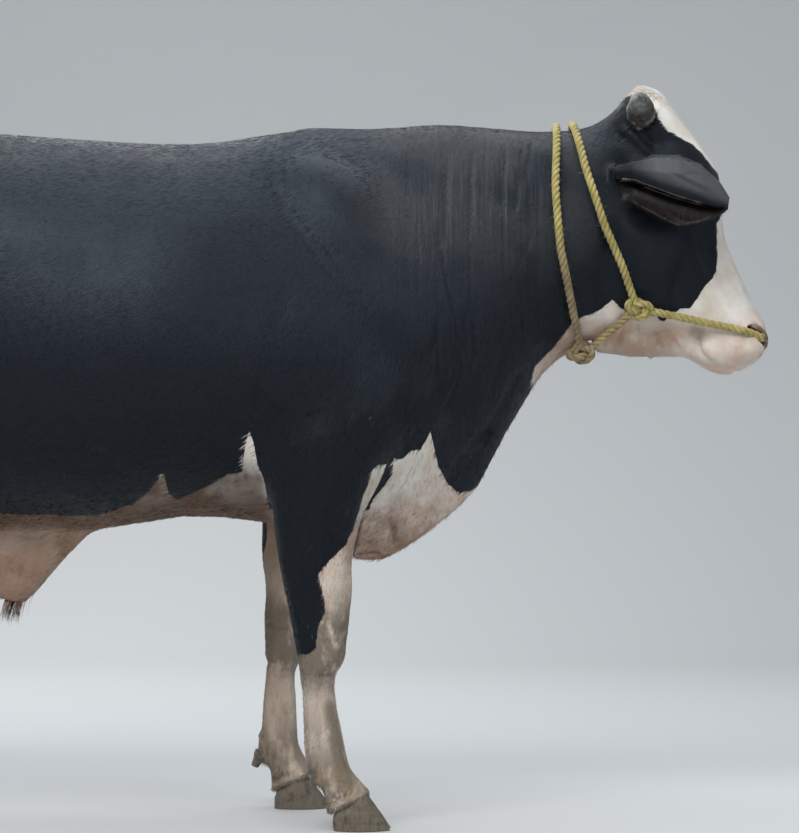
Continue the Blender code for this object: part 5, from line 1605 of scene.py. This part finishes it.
def neck_loop(line, centre_z):
    """A taut rope round the neck, from straight below and back. Line gives its x at a height."""

    def x_at(z):
        return float(np.interp(z, *zip(*line)))

    centre = Vector((x_at(centre_z), 0, centre_z))
    flat = []
    for angle in np.linspace(-math.pi, math.pi, 73):
        away = Vector((0, math.sin(angle), math.cos(angle)))
        lean = (x_at((centre + away * 0.2).z) - centre.x) / 0.2
        place = surface_place(centre, away + Vector((lean, 0, 0)))
        flat.append((place.y, place.z))
    line_round = hull_of(flat)
    seam = min(range(len(line_round)), key=lambda k: line_round[k][1])
    order = line_round[seam:] + line_round[:seam + 1]
    return evenly([(x_at(z), y, z) for y, z in order], LOOP_POINTS)


def taut(points, count):
    """The points' line pulled tight between its two ends, without entering the body."""
    points = evenly(points, count)
    for _ in range(60):
        for k in range(1, count - 1):
            place = (points[k - 1] + points[k + 1]) / 2
            off, normal = clearance(place)
            points[k] = place + normal * max(0, CLEAR - off)
    return points


def rounded(points):
    """The line with its corners cut, twice."""
    for _ in range(2):
        cuts = [a.lerp(b, share) for a, b in zip(points, points[1:]) for share in (0.25, 0.75)]
        points = [points[0], *cuts, points[-1]]
    return points


def laid_rope(name, path, spread=1.0):
    """Three strands laid round the path, each a closed tube that keeps its own yarns' direction."""
    count = max(8, int(sum((b - a).length for a, b in zip(path, path[1:])) / STEP))
    middles = np.array(evenly(path, count))
    ways = unit(np.gradient(middles, axis=0))
    across = np.empty_like(ways)
    across[0] = unit(np.cross(ways[0], (0.3, 0.5, 0.81))[None])[0]
    for n in range(1, count):
        own = across[n - 1] - ways[n] * (across[n - 1] @ ways[n])
        across[n] = own / np.linalg.norm(own)
    other = np.cross(ways, across)
    at = lengths_along(middles)
    turns = np.arange(CORNERS) * math.tau / CORNERS
    ring = np.stack([np.cos(turns), np.sin(turns)], 1)
    points, faces, yarns = [], [], []
    for strand in range(3):
        phase = math.tau * (strand / 3 + at / LAY)
        radial = across * np.cos(phase)[:, None] + other * np.sin(phase)[:, None]
        lines = middles + radial * STRAND_OUT * spread
        beside = np.cross(unit(np.gradient(lines, axis=0)), radial)
        base = len(points) * CORNERS
        for n in range(count):
            points.append(lines[n] + ring @ np.stack([radial[n], beside[n]]) * STRAND_RADIUS)
            yarns.append(np.column_stack([ring, np.full(CORNERS, at[n] + strand)]))
        for start in range(base, base + (count - 1) * CORNERS, CORNERS):
            for k in range(CORNERS):
                a, b = start + k, start + (k + 1) % CORNERS
                faces.append((a, b, b + CORNERS, a + CORNERS))
        faces.append(tuple(range(base + CORNERS - 1, base - 1, -1)))
        faces.append(tuple(base + (count - 1) * CORNERS + k for k in range(CORNERS)))
    mesh = bpy.data.meshes.new(name)
    mesh.from_pydata(np.concatenate(points).tolist(), [], faces)
    yarn = mesh.attributes.new("yarn", "FLOAT_VECTOR", "POINT")
    yarn.data.foreach_set("vector", np.concatenate(yarns).astype(np.float32).ravel())
    mesh.shade_smooth()
    rope = piece(name, mesh)
    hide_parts(name)
    return rope


def knot_path(place, across, upright, size, start):
    """A line that winds over and under itself in a lump."""
    across, upright = Vector(across).normalized(), Vector(upright).normalized()
    deep = across.cross(upright)
    path = []
    for n in range(KNOT_TURNS * 36 + 1):
        t = math.tau * n / 36
        wind = t * 2 / 3 + start
        ring = 1 + 0.38 * math.cos(t)
        flat = across * math.cos(wind) * ring * size[0] + upright * math.sin(wind) * ring * size[1]
        path.append(place + flat + deep * math.sin(t) * size[2])
    return path


paths = {}
throat = Vector(THROAT_KNOT)
loop = neck_loop(NECK_LOOP, 1.25)
gaps = [(p - throat).length for p in loop]
first = gaps.index(min(gaps))
loop = [p for p in loop[first + 1:-1] + loop[:first] if (p - throat).length > 0.030]
paths["neck_rope"] = rounded([throat.lerp(loop[0], 0.2), *evenly(loop, 34), throat.lerp(loop[-1], 0.2)])
stall = [p for p in neck_loop(HEADSTALL, 1.30) if p.z > CHEEK_KNOT[1] + 0.020]
cheeks, nose = {}, []
for name, side in SIDES:
    cheek = cheeks[name] = on_side_of(side, *CHEEK_KNOT, 0.013)
    strap = [cheek, on_side_of(side, *JAW)]
    if side > 0:
        strap.append(Vector((0.890, 0.030, 1.0)))
    strap.append(throat + Vector((0.016, 0, 0.006)))
    paths["jaw_rope_" + name] = rounded(taut(strap, 9 if side < 0 else 13))
    wing = Vector(on_head(*BY_NOSTRIL[:2], side * BY_NOSTRIL[2]))
    along = taut([cheek, *[on_side_of(side, x, z) for x, z in NOSE_ROPE], wing], 10)
    lip, outward = np.array(nostril[3]) * (1, side, 1), way_out * (1, side, 1)
    nose.append([*along, Vector(lip + outward * 0.0035), Vector(lip - outward * 0.020)])
if stall[0].y > 0:
    stall.reverse()
paths["headstall_rope"] = rounded([cheeks["right"], *evenly(stall, 30), cheeks["left"]])
paths["nose_rope"] = rounded(nose[0] + nose[1][::-1])
ropes = [laid_rope(name, path) for name, path in paths.items()]
for name, side in SIDES:
    place = cheeks[name] + Vector((0.004, side * 0.002, -0.002))
    path = knot_path(place, (1, 0, -0.25), (0.25, side * 0.1, 1), (0.0195, 0.0130, 0.0085), 0.4)
    ropes.append(laid_rope("cheek_knot_" + name, path, 0.9))
path = knot_path(throat, (1, 0, 0.1), (0, 0.3, 1), (0.0190, 0.0135, 0.0090), 1.2)
ropes.append(laid_rope("throat_knot", path, 0.9))


def rope_finish():
    """Weathered yellow twine: each strand shows its yarns, with painted shade in the grooves between yarns
    and between strands, and the neck rope is browner low down.
    """
    material, tree, shader = finish("rope", 0.72, 0.30, 0.0, 0.25)
    place = own_place(tree)
    across, upright, at = add(tree, "Attribute", {"attribute_name": "yarn"}, {}, 1).parts()
    ridge = (upright.maths("ARCTAN2", across) * YARNS - at * YARN_TWIST).maths("SINE") * 0.5 + 0.5
    x, y, z = place.parts()
    worn = noise(place, 42, 4, 0.6)
    brown = (1.30 - z).ramp(0.0, 0.16) * (0.905 - x).ramp(0, 0.03) * worn.ramp(0.25, 0.45)
    brown = brown | ((1.10 - z).ramp(0, 0.03) * (0.985 - x).ramp(0, 0.02) * 0.6)
    join(layered(
        blended(worn.ramp(0.35, 0.68), STRAW, PALE_STRAW),
        (brown, blended(worn.ramp(0.3, 0.7), OLD_BROWN, OLD_TAN)),
        # painted shade in the yarns' grooves and where the strands meet
        ((1 - ridge) * 0.45, YARN_GROOVE_SHADE),
        ((1 - across.ramp(-0.6, 0.75)) * 0.85, STRAND_GAP_SHADE),
    ), shader, "Base Color")
    raise_surface(ridge * 0.0010 + noise(place, 900, 2) * 0.0007, shader, 0.9)
    return material


rope_material = rope_finish()
# Broken fibres stand off the rope, most of all on the worn half of the neck loop.
dice = np.random.default_rng(71)
rows, ups = [], []
for rope in ropes:
    rope.data.materials.append(rope_material)
    points, normals = places(rope.data), facing(rope.data)
    worn = np.where((points[:, 2] < 1.28) & (points[:, 0] < 0.90), 0.115, 0.022)
    worn = np.where("knot" in rope.name, 0.05, worn)
    picks = np.nonzero(dice.uniform(0, 1, len(points)) < worn * 1)[0]
    for n in picks:
        aim = normals[n] * dice.uniform(0.15, 1.0) + dice.normal(0, 0.75, 3)
        aim /= np.linalg.norm(aim)
        length = dice.uniform(0.004, 0.015)
        curl = dice.normal(0, 0.35, 3)
        root = points[n] - normals[n] * 2 * SUNK
        rows.append([root + (aim * t + curl * t * t) * length for t in (0, 0.5, 1)])
        ups.append(normals[n])
halves = np.full(len(rows), FIBRE_HALF)
fibres = locks("rope_fibres", np.array(rows), np.array(ups), halves, halves)
twine, tree, shader = finish("rope fibre", 0.8, 0.2)
low_down = (1.30 - own_place(tree).parts()[2]).ramp(0, 0.16)
join(blended(low_down, FIBRE_PALE, FIBRE_BROWN), shader, "Base Color")
fibres.data.materials.append(twine)
